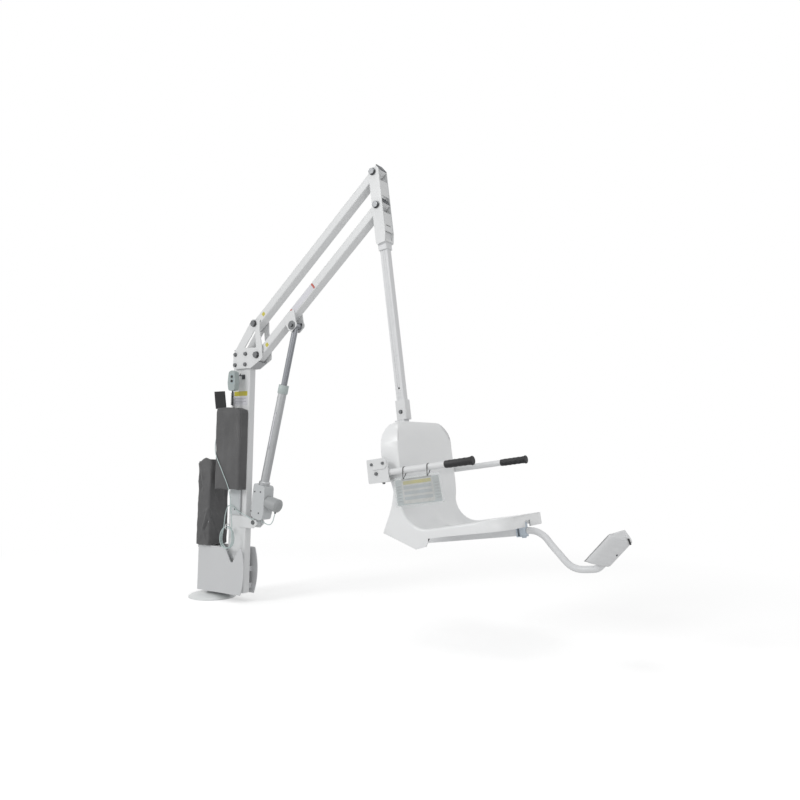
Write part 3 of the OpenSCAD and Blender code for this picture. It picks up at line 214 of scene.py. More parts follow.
def makeDrawnLines():
    tree, i, o = newGroup("drawnLines", {"Fine": 700.0, "Run": 0.02}, ["Line", "Spots"])
    here = objectCoords(tree)
    parts = tree.nodes.new("ShaderNodeSeparateXYZ")
    link(tree, here, parts.inputs[0])
    joined = tree.nodes.new("ShaderNodeCombineXYZ")
    for k in (0, 1):
        link(tree, calc(tree, "MULTIPLY", parts.outputs[k], i.outputs["Fine"]), joined.inputs[k])
    run = calc(tree, "MULTIPLY", i.outputs["Fine"], i.outputs["Run"])
    link(tree, calc(tree, "MULTIPLY", parts.outputs[2], run), joined.inputs[2])
    link(tree, noiseNode(tree, joined.outputs[0], 1.0, 3, 0.6), o.inputs["Line"])
    link(tree, rampNode(tree, noiseNode(tree, here, 35.0, 4, 0.6), 0.5, 0.8), o.inputs["Spots"])
    return tree


groups = {"edge": makeEdgeWear(), "dustAndShade": makeCreviceDustAndShade(), "skin": makeCoatSkin(), "weave": makeWeave(),
          "lines": makeDrawnLines()}
print("shader groups made")


def place(tree, key, **values):
    n = tree.nodes.new("ShaderNodeGroup")
    n.node_tree = groups[key]
    for k, v in values.items():
        n.inputs[k].default_value = v
    return n.outputs


materials = {}


def startMaterial(name):
    mat = bpy.data.materials.new(name)
    mat.use_nodes = True
    materials[name] = mat
    return mat.node_tree, mat.node_tree.nodes["Principled BSDF"]


def bumpInto(tree, shader, height, strength, distance):
    bump = tree.nodes.new("ShaderNodeBump")
    bump.inputs["Strength"].default_value = strength
    bump.inputs["Distance"].default_value = distance
    link(tree, height, bump.inputs["Height"])
    link(tree, bump.outputs[0], shader.inputs["Normal"])


def shade(colour, k):
    return tuple(min(1.0, c * k) for c in colour)


# coated or moulded surfaces: colours of the base, the worn edges and the dust-and-shade colour (flecks
# and painted crevice shade), and how much of each
def coatMaterial(name, base, rough, worn, dustAndShade, wear=0.3, dirtAndShade=0.5, peel=420.0, bump=0.06, coat=0.0,
                 tone=0.05, fleck=0.15, reach=0.03):
    tree, shader = startMaterial(name)
    skin = place(tree, "skin", Peel=peel)
    light = mixColour(tree, skin["Tone"], shade(base, 1 - tone), shade(base, 1 + tone * 0.4))
    flecked = mixColour(tree, calc(tree, "MULTIPLY", skin["Fleck"], fleck), light, shade(dustAndShade, 0.8))
    # painted shade: the occlusion mask mixes the dust-and-shade colour into crevices and recesses, broken
    # into dust-like patches
    dustyAndShaded = mixColour(tree, place(tree, "dustAndShade", Amount=dirtAndShade, Distance=reach)["Mask"], flecked, dustAndShade)
    edge = place(tree, "edge", Amount=wear)["Mask"]
    link(tree, mixColour(tree, edge, dustyAndShaded, worn), shader.inputs["Base Color"])
    link(tree, calc(tree, "MULTIPLY_ADD", skin["Gloss"], 0.14, rough - 0.05), shader.inputs["Roughness"])
    shader.inputs["IOR"].default_value = 1.5
    shader.inputs["Coat Weight"].default_value = coat
    shader.inputs["Coat Roughness"].default_value = 0.15
    bumpInto(tree, shader, skin["Height"], bump, 0.0008)


# bare turned, drawn or brushed metal
def metalMaterial(name, base, rough, dustAndShade, fine=700.0, run=0.02, dirtAndShade=0.6, streak=0.3, metal=1.0):
    tree, shader = startMaterial(name)
    lines = place(tree, "lines", Fine=fine, Run=run)
    tone = mixColour(tree, lines["Line"], shade(base, 1 - streak), shade(base, 1 + streak))
    spotted = mixColour(tree, calc(tree, "MULTIPLY", lines["Spots"], 0.25), tone, shade(base, 0.7))
    # painted crevice shade: the occlusion mask darkens the metal in hollows and also takes some metallic
    # look away, like a film of dirt
    mask = place(tree, "dustAndShade", Amount=dirtAndShade, Distance=0.02)["Mask"]
    link(tree, mixColour(tree, mask, spotted, dustAndShade), shader.inputs["Base Color"])
    link(tree, calc(tree, "MULTIPLY_ADD", lines["Line"], 0.22, rough - 0.1), shader.inputs["Roughness"])
    link(tree, calc(tree, "SUBTRACT", metal, calc(tree, "MULTIPLY", mask, 0.7), clamp=True),
         shader.inputs["Metallic"])
    bumpInto(tree, shader, lines["Line"], 0.08, 0.0004)


def clothMaterial(name, base, faded, pitch=900.0, rough=0.78, bump=0.35, sheen=0.12, dirtAndShade=0.35):
    tree, shader = startMaterial(name)
    weave = place(tree, "weave", Pitch=pitch)
    tone = mixColour(tree, rampNode(tree, weave["Tone"], 0.3, 0.72), base, faded)
    threads = mixColour(tree, calc(tree, "MULTIPLY", weave["Height"], 0.35), shade(base, 0.75), tone)
    threads = mixColour(tree, 0.6, threads, tone)
    edge = place(tree, "edge", Amount=0.5, Radius=0.003, Breakup=40.0)["Mask"]
    rubbed = mixColour(tree, edge, threads, shade(faded, 1.35))
    # painted shade: the occlusion mask darkens the cloth to a shaded copy of its base in folds, creases
    # and recesses
    mask = place(tree, "dustAndShade", Amount=dirtAndShade, Distance=0.03)["Mask"]
    link(tree, mixColour(tree, mask, rubbed, shade(base, 0.55)), shader.inputs["Base Color"])
    link(tree, calc(tree, "MULTIPLY_ADD", weave["Tone"], 0.15, rough - 0.07), shader.inputs["Roughness"])
    shader.inputs["Sheen Weight"].default_value = sheen
    shader.inputs["Sheen Roughness"].default_value = 0.5
    bumpInto(tree, shader, weave["Height"], bump, 0.0004)


def filmMaterial(name):
    tree, shader = startMaterial(name)
    skin = place(tree, "skin", Peel=160.0, Clouds=9.0)
    link(tree, mixColour(tree, skin["Tone"], (0.72, 0.77, 0.77), (0.86, 0.89, 0.89)),
         shader.inputs["Base Color"])
    link(tree, calc(tree, "MULTIPLY_ADD", skin["Gloss"], 0.18, 0.12), shader.inputs["Roughness"])
    link(tree, calc(tree, "MULTIPLY_ADD", skin["Tone"], 0.14, 0.07), shader.inputs["Alpha"])
    shader.inputs["Coat Weight"].default_value = 0.6
    shader.inputs["Coat Roughness"].default_value = 0.08
    bumpInto(tree, shader, skin["Tone"], 0.2, 0.002)


# colour of the real flecks and of the painted crevice shade
soilAndShade = (0.30, 0.29, 0.27)
coatMaterial("whitePaint", (0.80, 0.81, 0.815), 0.36, (0.55, 0.56, 0.57), (0.46, 0.46, 0.45), dirtAndShade=0.25)
# painted shade: the lift's white paint drawn darker on the foot plates, hub and spacers, standing for the
# weaker light down at the base
coatMaterial("shadedFootPaint", (0.665, 0.675, 0.685), 0.42, (0.5, 0.5, 0.51), (0.38, 0.38, 0.37), wear=0.4,
             dirtAndShade=0.4)
coatMaterial("postPaint", (0.78, 0.79, 0.80), 0.40, (0.50, 0.51, 0.52), (0.44, 0.44, 0.43), wear=0.4,
             dirtAndShade=0.25)
coatMaterial("bluePaint", (0.56, 0.63, 0.70), 0.38, (0.70, 0.72, 0.74), soilAndShade, wear=0.5, dirtAndShade=0.35)
coatMaterial("shellPlastic", (0.90, 0.91, 0.915), 0.34, (0.74, 0.74, 0.74), (0.62, 0.62, 0.61), wear=0.15,
             dirtAndShade=0.18, peel=150.0, bump=0.05, coat=0.25, tone=0.03, fleck=0.08, reach=0.06)
coatMaterial("flangePlastic", (0.80, 0.82, 0.82), 0.34, (0.62, 0.63, 0.62), soilAndShade, wear=0.4, dirtAndShade=0.6,
             peel=180.0, coat=0.15)
# painted shade: a full-strength dark occlusion mix over a wide reach darkens the pad's finger scallops
# and other hollows
coatMaterial("padPlastic", (0.78, 0.79, 0.80), 0.42, (0.62, 0.62, 0.62), (0.30, 0.30, 0.30), wear=0.3,
             dirtAndShade=1.0, peel=650.0, bump=0.2, reach=0.06)
coatMaterial("boxPlastic", (0.60, 0.63, 0.64), 0.45, (0.7, 0.7, 0.7), soilAndShade, peel=700.0, bump=0.15)
coatMaterial("motorGrey", (0.40, 0.415, 0.42), 0.40, (0.55, 0.56, 0.57), soilAndShade, wear=0.3, peel=520.0)
coatMaterial("castGrey", (0.60, 0.62, 0.63), 0.42, (0.72, 0.73, 0.74), soilAndShade, wear=0.35, dirtAndShade=0.5,
             peel=520.0, bump=0.18)
coatMaterial("blackPlastic", (0.022, 0.022, 0.024), 0.42, (0.14, 0.14, 0.14), (0.12, 0.115, 0.11),
             wear=0.4, dirtAndShade=0.4, peel=600.0, bump=0.2, fleck=0.1)
coatMaterial("darkPlastic", (0.075, 0.08, 0.09), 0.45, (0.2, 0.2, 0.21), (0.2, 0.19, 0.18), peel=600.0,
             bump=0.2)
coatMaterial("gripRubber", (0.018, 0.018, 0.02), 0.55, (0.10, 0.10, 0.10), (0.13, 0.125, 0.12), wear=0.5,
             dirtAndShade=0.5, peel=900.0, bump=0.45, fleck=0.2)
coatMaterial("slatePlastic", (0.40, 0.455, 0.45), 0.48, (0.55, 0.6, 0.6), soilAndShade, peel=700.0, bump=0.2)
coatMaterial("collarGrey", (0.50, 0.565, 0.555), 0.42, (0.62, 0.66, 0.66), soilAndShade, peel=600.0, bump=0.12)
coatMaterial("keypad", (0.42, 0.50, 0.52), 0.40, (0.6, 0.62, 0.62), soilAndShade, peel=500.0, bump=0.1)
coatMaterial("curlRubber", (0.03, 0.036, 0.04), 0.40, (0.16, 0.17, 0.17), (0.18, 0.18, 0.17), peel=900.0,
             bump=0.2)
coatMaterial("cableSheath", (0.55, 0.65, 0.64), 0.40, (0.68, 0.72, 0.71), soilAndShade, wear=0.2, dirtAndShade=0.6,
             peel=600.0, bump=0.1)
coatMaterial("tieNylon", (0.78, 0.79, 0.78), 0.45, (0.85, 0.85, 0.85), soilAndShade, peel=500.0)
coatMaterial("labelFilm", (0.72, 0.72, 0.76), 0.30, (0.55, 0.55, 0.55), soilAndShade, wear=0.3, dirtAndShade=0.4,
             peel=300.0, coat=0.3, tone=0.06)
coatMaterial("labelYellow", (0.62, 0.55, 0.06), 0.32, (0.75, 0.7, 0.4), soilAndShade, wear=0.4, peel=300.0,
             coat=0.3)
coatMaterial("labelRed", (0.55, 0.10, 0.07), 0.32, (0.7, 0.4, 0.35), soilAndShade, wear=0.4, peel=300.0, coat=0.3)
coatMaterial("labelInk", (0.30, 0.31, 0.34), 0.36, (0.5, 0.5, 0.5), soilAndShade, peel=300.0, coat=0.2)
coatMaterial("cardPaper", (0.76, 0.76, 0.74), 0.62, (0.6, 0.6, 0.58), soilAndShade, peel=260.0, bump=0.1)
coatMaterial("backCard", (0.60, 0.66, 0.68), 0.6, (0.6, 0.6, 0.58), soilAndShade, peel=260.0)
coatMaterial("fieldGrey", (0.50, 0.55, 0.59), 0.55, (0.6, 0.6, 0.6), soilAndShade, peel=260.0)
metalMaterial("stainless", (0.48, 0.49, 0.50), 0.36, soilAndShade, fine=900.0, run=1.0, streak=0.18)
# painted shade: the bolts' stainless drawn far darker than the other stainless parts, for the dark look
# of their heads
metalMaterial("shadedBoltSteel", (0.17, 0.175, 0.18), 0.34, (0.08, 0.08, 0.08), fine=900.0, run=1.0, streak=0.2)
metalMaterial("rodSteel", (0.30, 0.31, 0.33), 0.30, (0.10, 0.10, 0.10), fine=800.0, run=0.6, streak=0.25)
metalMaterial("tubeMetal", (0.50, 0.51, 0.52), 0.42, (0.25, 0.25, 0.25), fine=900.0, run=0.02,
              streak=0.14, metal=0.85)
clothMaterial("coverCloth", (0.10, 0.10, 0.102), (0.158, 0.158, 0.16), dirtAndShade=0.5)
clothMaterial("strapCloth", (0.012, 0.012, 0.013), (0.03, 0.03, 0.032), pitch=1400.0, bump=0.6,
              sheen=0.05)
filmMaterial("clearFilm")
print("materials made:", len(materials))


# small mesh tools
def addMesh(name, verts, faces, material, body, smooth=True):
    mesh = bpy.data.meshes.new(name)
    mesh.from_pydata([tuple(v) for v in verts], [], faces)
    mesh.update()
    obj = bpy.data.objects.new(name, mesh)
    bpy.context.scene.collection.objects.link(obj)
    obj.data.materials.append(materials[material])
    for p in mesh.polygons:
        p.use_smooth = smooth
    fixNormals(mesh)
    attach(obj, body)
    return obj


def fixNormals(mesh):
    bm = bmesh.new()
    bm.from_mesh(mesh)
    bmesh.ops.recalc_face_normals(bm, faces=bm.faces)
    bm.to_mesh(mesh)
    bm.free()


def soften(obj, width, angle=32, segments=2):
    if width > 0:
        bevel = obj.modifiers.new("edges", "BEVEL")
        bevel.width = width
        bevel.segments = segments
        bevel.limit_method = "ANGLE"
        bevel.angle_limit = math.radians(angle)
        bevel.use_clamp_overlap = True
        bevel.miter_outer = "MITER_ARC"
    weighted = obj.modifiers.new("normals", "WEIGHTED_NORMAL")
    weighted.weight = 60
    return obj


def catmull(points, count):
    out = []
    last = len(points) - 1
    for i in range(last):
        a, b, c, d = (Vector(points[k]) for k in (max(i - 1, 0), i, i + 1, min(i + 2, last)))
        for j in range(count):
            t = j / count
            out.append(0.5 * (2 * b + (c - a) * t + (2 * a - 5 * b + 4 * c - d) * t * t
                              + (3 * b - a - 3 * c + d) * t ** 3))
    return out + [Vector(points[last])]


def addCord(name, points, diameter, material, body, node):
    curve = bpy.data.curves.new(name, "CURVE")
    curve.dimensions = "3D"
    curve.bevel_depth = diameter / 2
    curve.bevel_resolution = 4
    curve.use_fill_caps = True
    spline = curve.splines.new("POLY")
    spline.points.add(len(points) - 1)
    for p, q in zip(spline.points, points):
        p.co = (*q, 1)
    obj = bpy.data.objects.new(name, curve)
    bpy.context.scene.collection.objects.link(obj)
    curve.materials.append(materials[material])
    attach(obj, body)
    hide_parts(node)
    return obj


# ring of revolution: profile is (radius, height) along the axis from the origin
def lathe(name, profile, origin, axis, material, body, sides=32, closed=True):
    turn = Vector((0, 0, 1)).rotation_difference(Vector(axis)).to_matrix()
    verts, faces = [], []
    for r, h in profile:
        for k in range(sides):
            a = 2 * math.pi * k / sides
            verts.append(turn @ Vector((r * math.cos(a), r * math.sin(a), h)) + Vector(origin))
    rows = len(profile)
    for j in range(rows - 1):
        for k in range(sides):
            a, b = j * sides + k, j * sides + (k + 1) % sides
            faces.append((a, b, b + sides, a + sides))
    if closed:
        faces.append(tuple(range(sides))[::-1])
        faces.append(tuple((rows - 1) * sides + k for k in range(sides)))
    return addMesh(name, verts, faces, material, body)


# free cords first
actuatorLean = math.radians(13.208975)
actuatorFoot = Vector((0.348, 0, 0.4575))


def onActuator(x, y, z):
    c, s = math.cos(actuatorLean), math.sin(actuatorLean)
    return actuatorFoot + Vector((x * c + z * s, y, z * c - x * s)) * mm


curly = {"x": 198, "y": -80, "top": 1221.6, "end": 1124.3, "radius": 6.5, "curls": 12, "diameter": 4,
         "steps": 20}
coil = {
    "centre": (186, -75, 366), "across": 52, "tall": 62, "turns": 3, "diameter": 5, "steps": 36,
    "coming": [(82.4, -62, 985), (74, -62, 984), (67, -70, 955), (68, -80, 905), (84, -92, 860),
               (106, -98.5, 822), (136, -98.5, 775), (166, -98.5, 726), (192, -98.5, 685),
               (212, -98.5, 645), (222, -96, 605), (226, -92, 560), (228, -88, 500), (234, -86, 440)],
    "leaving": [(146, -62, 440), (150, -58, 500), (166, -52, 545), (196, -46, 545), (226, -44.5, 524),
                (250, -43.5, 512), (290, -39, 497), (322, -37, 484.5), (336, -36.5, 477.5),
                (348, -36, 475.5), (355, -35, 477.5), (357.57, -34.5, 483.2)]}
lead = {"diameter": 5, "route": [(44, -10, 27.5), (44.5, -10, 22), (52, -10, 17), (72, -10, 16),
                                 (96, -9, 15), (114, -8, 22), (124, -6, 42), (125, -3, 68), (124, 0, 88),
                                 (124, 0, 95.5)]}


def curlyPoints(s):
    x, y, r = s["x"], s["y"], s["radius"]
    high, low = s["top"] - 10, s["end"] + 12
    count = s["curls"] * s["steps"]
    out = [(x, y, s["top"]), (x, y, s["top"] - 4), (x + 2, y, s["top"] - 7)]
    for i in range(count + 1):
        a = 2 * math.pi * i / s["steps"]
        out.append((x + r * math.cos(a), y + r * math.sin(a), high - (high - low) * i / count))
    out += [(x + 2, y, low - 5), (x, y, low - 8), (x, y, s["end"])]
    return [Vector(p) * mm for p in out]


def coilPoints(s):
    cx, cy, cz = s["centre"]
    count = s["turns"] * s["steps"]
    loops = []
    for i in range(1, count):
        a = math.radians(-10 - 360 * (s["turns"] - 0.45) * i / count)
        loops.append((cx + (s["across"] - 4 * math.sin(a)) * math.cos(a), cy - 11 + 22 * i / count,
                      cz + s["tall"] * math.sin(a)))
    route = catmull(s["coming"], 6) + [Vector(p) for p in loops] + catmull(s["leaving"], 6)
    return [p * mm for p in route]


relief = [(0.0042, 0), (0.0042, 0.003), (0.0034, 0.010), (0.0031, 0.016), (0.0027, 0.017)]
curlyBoots = [lathe("curlyBootTop", [(0.0045, 0), (0.0045, 0.004), (0.0032, 0.011), (0.0026, 0.012)],
                    Vector((198, -80, 1221.6)) * mm, (0, 0, -1), "curlRubber", "mast")]
addCord("handsetCord", curlyPoints(curly), curly["diameter"] * mm, "curlRubber", "mast", "handset_cord")
cableBoots = [lathe("cableBoot", relief, Vector((82.9, -62, 985)) * mm, (-1, 0, -0.1), "darkPlastic",
                    "mast")]
addCord("actuatorCable", coilPoints(coil), coil["diameter"] * mm, "cableSheath", "mast", "actuator_cable")
leadBoots = [lathe("leadBoot", [(0.006, -0.0004), (0.006, 0.004), (0.004, 0.009), (0.0032, 0.0095)],
                   onActuator(124, 0, 95.5), -(onActuator(0, 0, 1) - onActuator(0, 0, 0)), "darkPlastic",
                   "actuator")]
addCord("motorCable", [onActuator(*p) for p in catmull(lead["route"], 8)], lead["diameter"] * mm,
        "cableSheath", "actuator", "motor_cable")


# CAD nodes that stay: their finish and the width of their eased edges in mm
kept = {
    "shadedFootPaint": {"foot_plate_near": 0.8, "foot_plate_far": 0.8, "swivel_hub": 1, "foot_spacers": 0.8},
    "whitePaint": {"mast_tube": 0.8, "head_plates": 0.9, "head_spacers": 0.8, "actuator_mount": 0.8,
                   "lower_arm_tube": 0.7, "upper_arm_tube": 0.7, "rod_clevis": 0.8, "apex_plates": 0.9,
                   "apex_web": 0.5, "arm_brackets": 0.8, "armrest_near_tube": 0.5,
                   "armrest_far_tube": 0.5, "seat_sleeve": 0.9},
    "postPaint": {"post_tube": 0.7, "post_collar": 0.9, "seat_frame": 0.9, "footrest_tube": 0.4},
    "bluePaint": {"footrest_hub": 0.8, "footrest_fork": 0.6}, "shellPlastic": {"seat_shell": 0},
    "flangePlastic": {"flange_cover": 0.8}, "boxPlastic": {"control_box": 1.2, "battery_box": 1.2},
    "padPlastic": {"footrest_pad": 0}, "castGrey": {"gear_case": 1.5}, "motorGrey": {"motor_can": 1.5},
    "blackPlastic": {"mast_cap": 0.8, "handset_up_button": 0.7, "handset_down_button": 0.7,
                     "pouch_ties": 0.3}, "darkPlastic": {"lower_arm_caps": 0.8, "upper_arm_caps": 0.8,
                                                         "swivel_bushes": 0.4, "lower_arm_bushes": 0.5,
                                                         "upper_arm_bushes": 0.5, "handset_hook": 0.5},
    "gripRubber": {"armrest_near_grip": 0.4, "armrest_far_grip": 0.4}, "slatePlastic": {"handset": 2.0},
    "stainless": {"anchor_post": 0.8, "head_brace": 0.6}, "shadedBoltSteel": {"head_bolts": 0.7,
                                                                        "mast_pins": 0.7,
                                                                        "apex_pins": 0.7,
                                                                        "seat_bolts": 0.5,
                                                                        "rod_pin": 0.7},
    "rodSteel": {"actuator_rod": 0.6}, "tubeMetal": {"actuator_tube": 0.8},
    "tieNylon": {"cable_tie": 0.4}, }


def dressNode(name, material, ease):
    obj = nodes[name]
    obj.data.materials.clear()
    obj.data.materials.append(materials[material])
    custom = obj.data.attributes.get("custom_normal")
    if custom:
        obj.data.attributes.remove(custom)
    for p in obj.data.polygons:
        p.use_smooth = True
    weld = obj.modifiers.new("weld", "WELD")
    weld.merge_threshold = 0.00001
    soften(obj, ease * mm)


for finish, members in kept.items():
    for nodeName, ease in members.items():
        dressNode(nodeName, finish, ease)
print("kept nodes dressed")


# cloth covers: a sleeve that hangs round its box, closed on top, with creases pressed into it
def crease(p, a, b, width, sharp=1.4):
    ax, az, bx, bz = *a, *b
    dx, dz = bx - ax, bz - az
    t = max(0.0, min(1.0, ((p[0] - ax) * dx + (p[1] - az) * dz) / (dx * dx + dz * dz)))
    d = math.hypot(p[0] - ax - t * dx, p[1] - az - t * dz)
    ends = min(1.0, 4 * t + 0.15, 4 * (1 - t) + 0.15)
    return math.exp(-(d / width) ** sharp) * ends


def clothSleeve(name, s, outline, shift, material, body, node):
    rows, z0, height = s["rows"], s["low"], s["height"]
    verts, faces, around = [], [], None
    for j in range(rows + 1):
        k = j / rows
        ring = outline(k)
        around = len(ring)
        for i, (x, y, nx, ny) in enumerate(ring):
            z = z0 + height * k
            dx, dy, dz = shift(x, y, z, nx, ny, k)
            verts.append(Vector((x + dx, y + dy, z + dz)) * mm)
    for j in range(rows):
        for i in range(around):
            a, b = j * around + i, j * around + (i + 1) % around
            faces.append((a, b, b + around, a + around))
    # the top closes inwards in shrinking rings
    top = verts[-around:]
    centre = sum(top, Vector()) / around
    last = rows * around
    for share in s["topRings"]:
        base = len(verts)
        for i, v in enumerate(top):
            p = centre + (v - centre) * share
            x, y = p.x / mm, p.y / mm
            p.z = v.z + (centre.z - v.z) * (1 - share) + s["topShape"](x, y, share) * mm
            verts.append(p)
        for i in range(around):
            a, b = last + i, last + (i + 1) % around
            faces.append((a, b, base + (i + 1) % around, base + i))
        last = base
    middle = len(verts)
    verts.append(centre + Vector((0, 0, s["topShape"](centre.x / mm, centre.y / mm, 0) * mm)))
    for i in range(around):
        faces.append((last + i, last + (i + 1) % around, middle))
    obj = addMesh(name, verts, faces, material, body)
    solid = obj.modifiers.new("cloth", "SOLIDIFY")
    solid.thickness = s["cloth"] * mm
    solid.offset = -1
    fine = obj.modifiers.new("fine", "SUBSURF")
    fine.levels = fine.render_levels = 1
    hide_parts(node)
    return obj


# outline of a rectangle with rounded corners, one of them cut off if cut is given
def roundRing(x0, x1, y0, y1, radii, cut=None):
    corners = [(x0, y0), (x1, y0), (x1, y1), (x0, y1)]
    if cut:
        corners = [(x0, y0), (x1 - cut[0], y0), (x1, y0 + cut[1]), (x1, y1), (x0, y1)]
        radii = [radii[0], cut[2], cut[3], radii[2], radii[3]]
    path = []
    n = len(corners)
    for i in range(n):
        p, q, r = (Vector(corners[k % n]) for k in (i - 1, i, i + 1))
        a, b = (p - q).normalized(), (r - q).normalized()
        half = math.acos(max(-1, min(1, a.dot(b)))) / 2
        t = min(radii[i] / math.tan(half), (p - q).length * 0.48, (r - q).length * 0.48)
        rr = t * math.tan(half)
        centre = q + (a + b).normalized() * rr / math.sin(half)
        start = math.atan2(*(q + a * t - centre).yx)
        end = math.atan2(*(q + b * t - centre).yx)
        sweep = (end - start + math.pi) % (2 * math.pi) - math.pi
        for k in range(5):
            w = start + sweep * k / 4
            path.append(centre + Vector((math.cos(w), math.sin(w))) * rr)
    return path


# evenly spaced points along a closed outline, each with its outward direction
def resample(path, count):
    closed = path + [path[0]]
    lengths = [0.0]
    for a, b in zip(closed, closed[1:]):
        lengths.append(lengths[-1] + (b - a).length)
    out, k = [], 0
    for i in range(count):
        d = lengths[-1] * i / count
        while lengths[k + 1] < d:
            k += 1
        t = (d - lengths[k]) / max(lengths[k + 1] - lengths[k], 1e-9)
        out.append(closed[k].lerp(closed[k + 1], t))
    ring = []
    for i, p in enumerate(out):
        along = out[(i + 1) % count] - out[i - 1]
        normal = Vector((along.y, -along.x)).normalized()
        ring.append((p.x, p.y, normal.x, normal.y))
    return ring


def wrinkle(x, y, z, size, seed):
    return noise.noise(Vector((x / size, y / size, z / size + seed)))


def smooth(t):
    t = max(0.0, min(1.0, t))
    return t * t * (3 - 2 * t)


controlCover = {
    "low": 642, "height": 481, "rows": 74, "around": 92, "cloth": 1.6,
    "topRings": [0.93, 0.8, 0.55, 0.28],
    "topShape": lambda x, y, share: -4.0 * (1 - share) + 1.5 * math.sin(x / 21), "left": 84.5,
    "right": 283.0, "front": -92.5, "back": -26.2, "lean": 8.5, "radii": [12, 12, 4, 4],
    "corner": (7, 6, 10, 10), "foldLine": [(1124, 222), (1080, 232), (1030, 243), (980, 254), (930, 268),
                                           (890, 283), (600, 330)], "stand": 10, "foldDeep": 2.2,
    "foldWide": 3.5, "folds": 1.6, "puckers": 0.5, "sag": -14.0, "hemWave": 2.2, "pull": 5, "flare": 2.0,
    "creases": [((236, 1118), (276, 1062), -3.0, 5), ((246, 1112), (274, 1020), 3.0, 5),
                ((250, 1085), (278, 985), -2.6, 6), ((228, 1040), (250, 900), -1.8, 6),
                ((160, 1090), (150, 720), 1.6, 14), ((196, 1060), (176, 690), -1.8, 12),
                ((214, 1000), (224, 680), 1.8, 13), ((110, 900), (102, 700), -1.5, 12),
                ((248, 860), (258, 700), -2.2, 10), ((92, 1104), (205, 1098), -2.0, 3)]}


def controlOutline(k):
    s = controlCover
    pull = s["pull"] * smooth((k - 0.93) / 0.07)
    flare = s["flare"] * (1 - k) ** 2
    left = s["left"] - flare - s["lean"] * smooth((k - 0.25) / 0.5) + pull * 0.5
    path = roundRing(left, s["right"] - 1.2 * pull, s["front"] - flare + pull * 0.5, s["back"],
                     s["radii"], cut=s["corner"])
    return resample(path, s["around"])


# the loose right end starts at this fold, which runs down to the right edge
def foldAt(z):
    line = controlCover["foldLine"]
    for (z0, x0), (z1, x1) in zip(line, line[1:]):
        if z >= z1:
            return x0 + (x1 - x0) * (z0 - z) / (z0 - z1)
    return line[-1][1]


def controlShift(x, y, z, nx, ny, k):
    s = controlCover
    out = 0.0
    if ny < -0.2:
        fold = foldAt(z)
        if x > fold:
            out += s["stand"] * smooth((z - 880) / 90) * min(1.0, (x - fold) / max(s["right"] - fold, 8))
        out -= s["foldDeep"] * math.exp(-abs(x - fold) / s["foldWide"]) * smooth((z - 860) / 60)
        for a, b, deep, width in s["creases"]:
            out += deep * crease((x, z), a, b, width)
    out += s["folds"] * wrinkle(x, y, z, 70, 3.0) + s["puckers"] * wrinkle(x, y, z, 22, 9.0)
    if ny > 0.5:
        out = min(out, 0.0) * 0.3
    sag = s["sag"] * smooth((x - 222) / 60) * smooth((k - 0.9) / 0.1)
    wave = s["hemWave"] * math.sin(x / 17.0) * (1 - smooth(k / 0.05))
    return nx * out, ny * out, sag + wave + (2.5 if k < 0.001 else 0)


clothSleeve("controlCover", controlCover, controlOutline, controlShift, "coverCloth", "mast",
            "control_cover")
print("control cover made")

batteryCover = {
    "low": 306.6, "height": 509, "rows": 84, "around": 108, "cloth": 1.6,
    "topRings": [0.94, 0.82, 0.6, 0.3], "centre": -21, "halfX": 54.5, "halfY": 77.5,
    "radii": [10, 12, 14, 12], "peak": 10, "folds": 3.0, "puckers": 1.2, "hemWave": 3.0, "pull": 7,
    "ear": 9, "waist": 2.2,
    "topShape": lambda x, y, share: -14.0 * smooth(1 - share) * smooth((-x - 4) / 50)
    + 2.0 * math.sin(y / 19),
    "front": [((-72, 800), (-26, 700), 4.5, 8), ((-70, 745), (-34, 640), -4.0, 8),
              ((-40, 770), (-28, 610), 3.2, 8), ((-74, 690), (-40, 650), 3.0, 8),
              ((-66, 610), (-30, 668), -3.2, 9), ((-60, 560), (-38, 470), 2.6, 10),
              ((30, 540), (-18, 400), 6.0, 10), ((28, 470), (-12, 385), -7.0, 8),
              ((-20, 412), (10, 340), 5.0, 8), ((32, 520), (-22, 500), 4.0, 8),
              ((-50, 420), (-20, 330), -2.5, 9), ((-70, 380), (-46, 330), 2.2, 9)],
    "side": [((-70, 800), (-30, 640), 3.5, 9), ((-62, 700), (-6, 560), -3.5, 10),
             ((-20, 780), (10, 600), 2.8, 12), ((-60, 540), (-10, 470), 4.0, 10),
             ((-70, 500), (-20, 390), -5.0, 9), ((-40, 430), (10, 350), 4.0, 9),
             ((30, 760), (50, 500), -2.6, 12), ((20, 480), (60, 360), 3.0, 12)]}


def batteryOutline(k):
    s = batteryCover
    pull = s["pull"] * smooth((k - 0.95) / 0.05)
    ear = s["ear"] * smooth((k - 0.86) / 0.1)
    waist = s["waist"] * math.sin(3 * math.pi * k)
    left = s["centre"] - s["halfX"] - ear * 0.6 - waist * 0.5 + pull * 0.2
    right = s["centre"] + s["halfX"] - pull + waist
    path = roundRing(left, right, -s["halfY"] + pull * 0.7, s["halfY"] - pull * 0.7, s["radii"])
    return resample(path, s["around"])


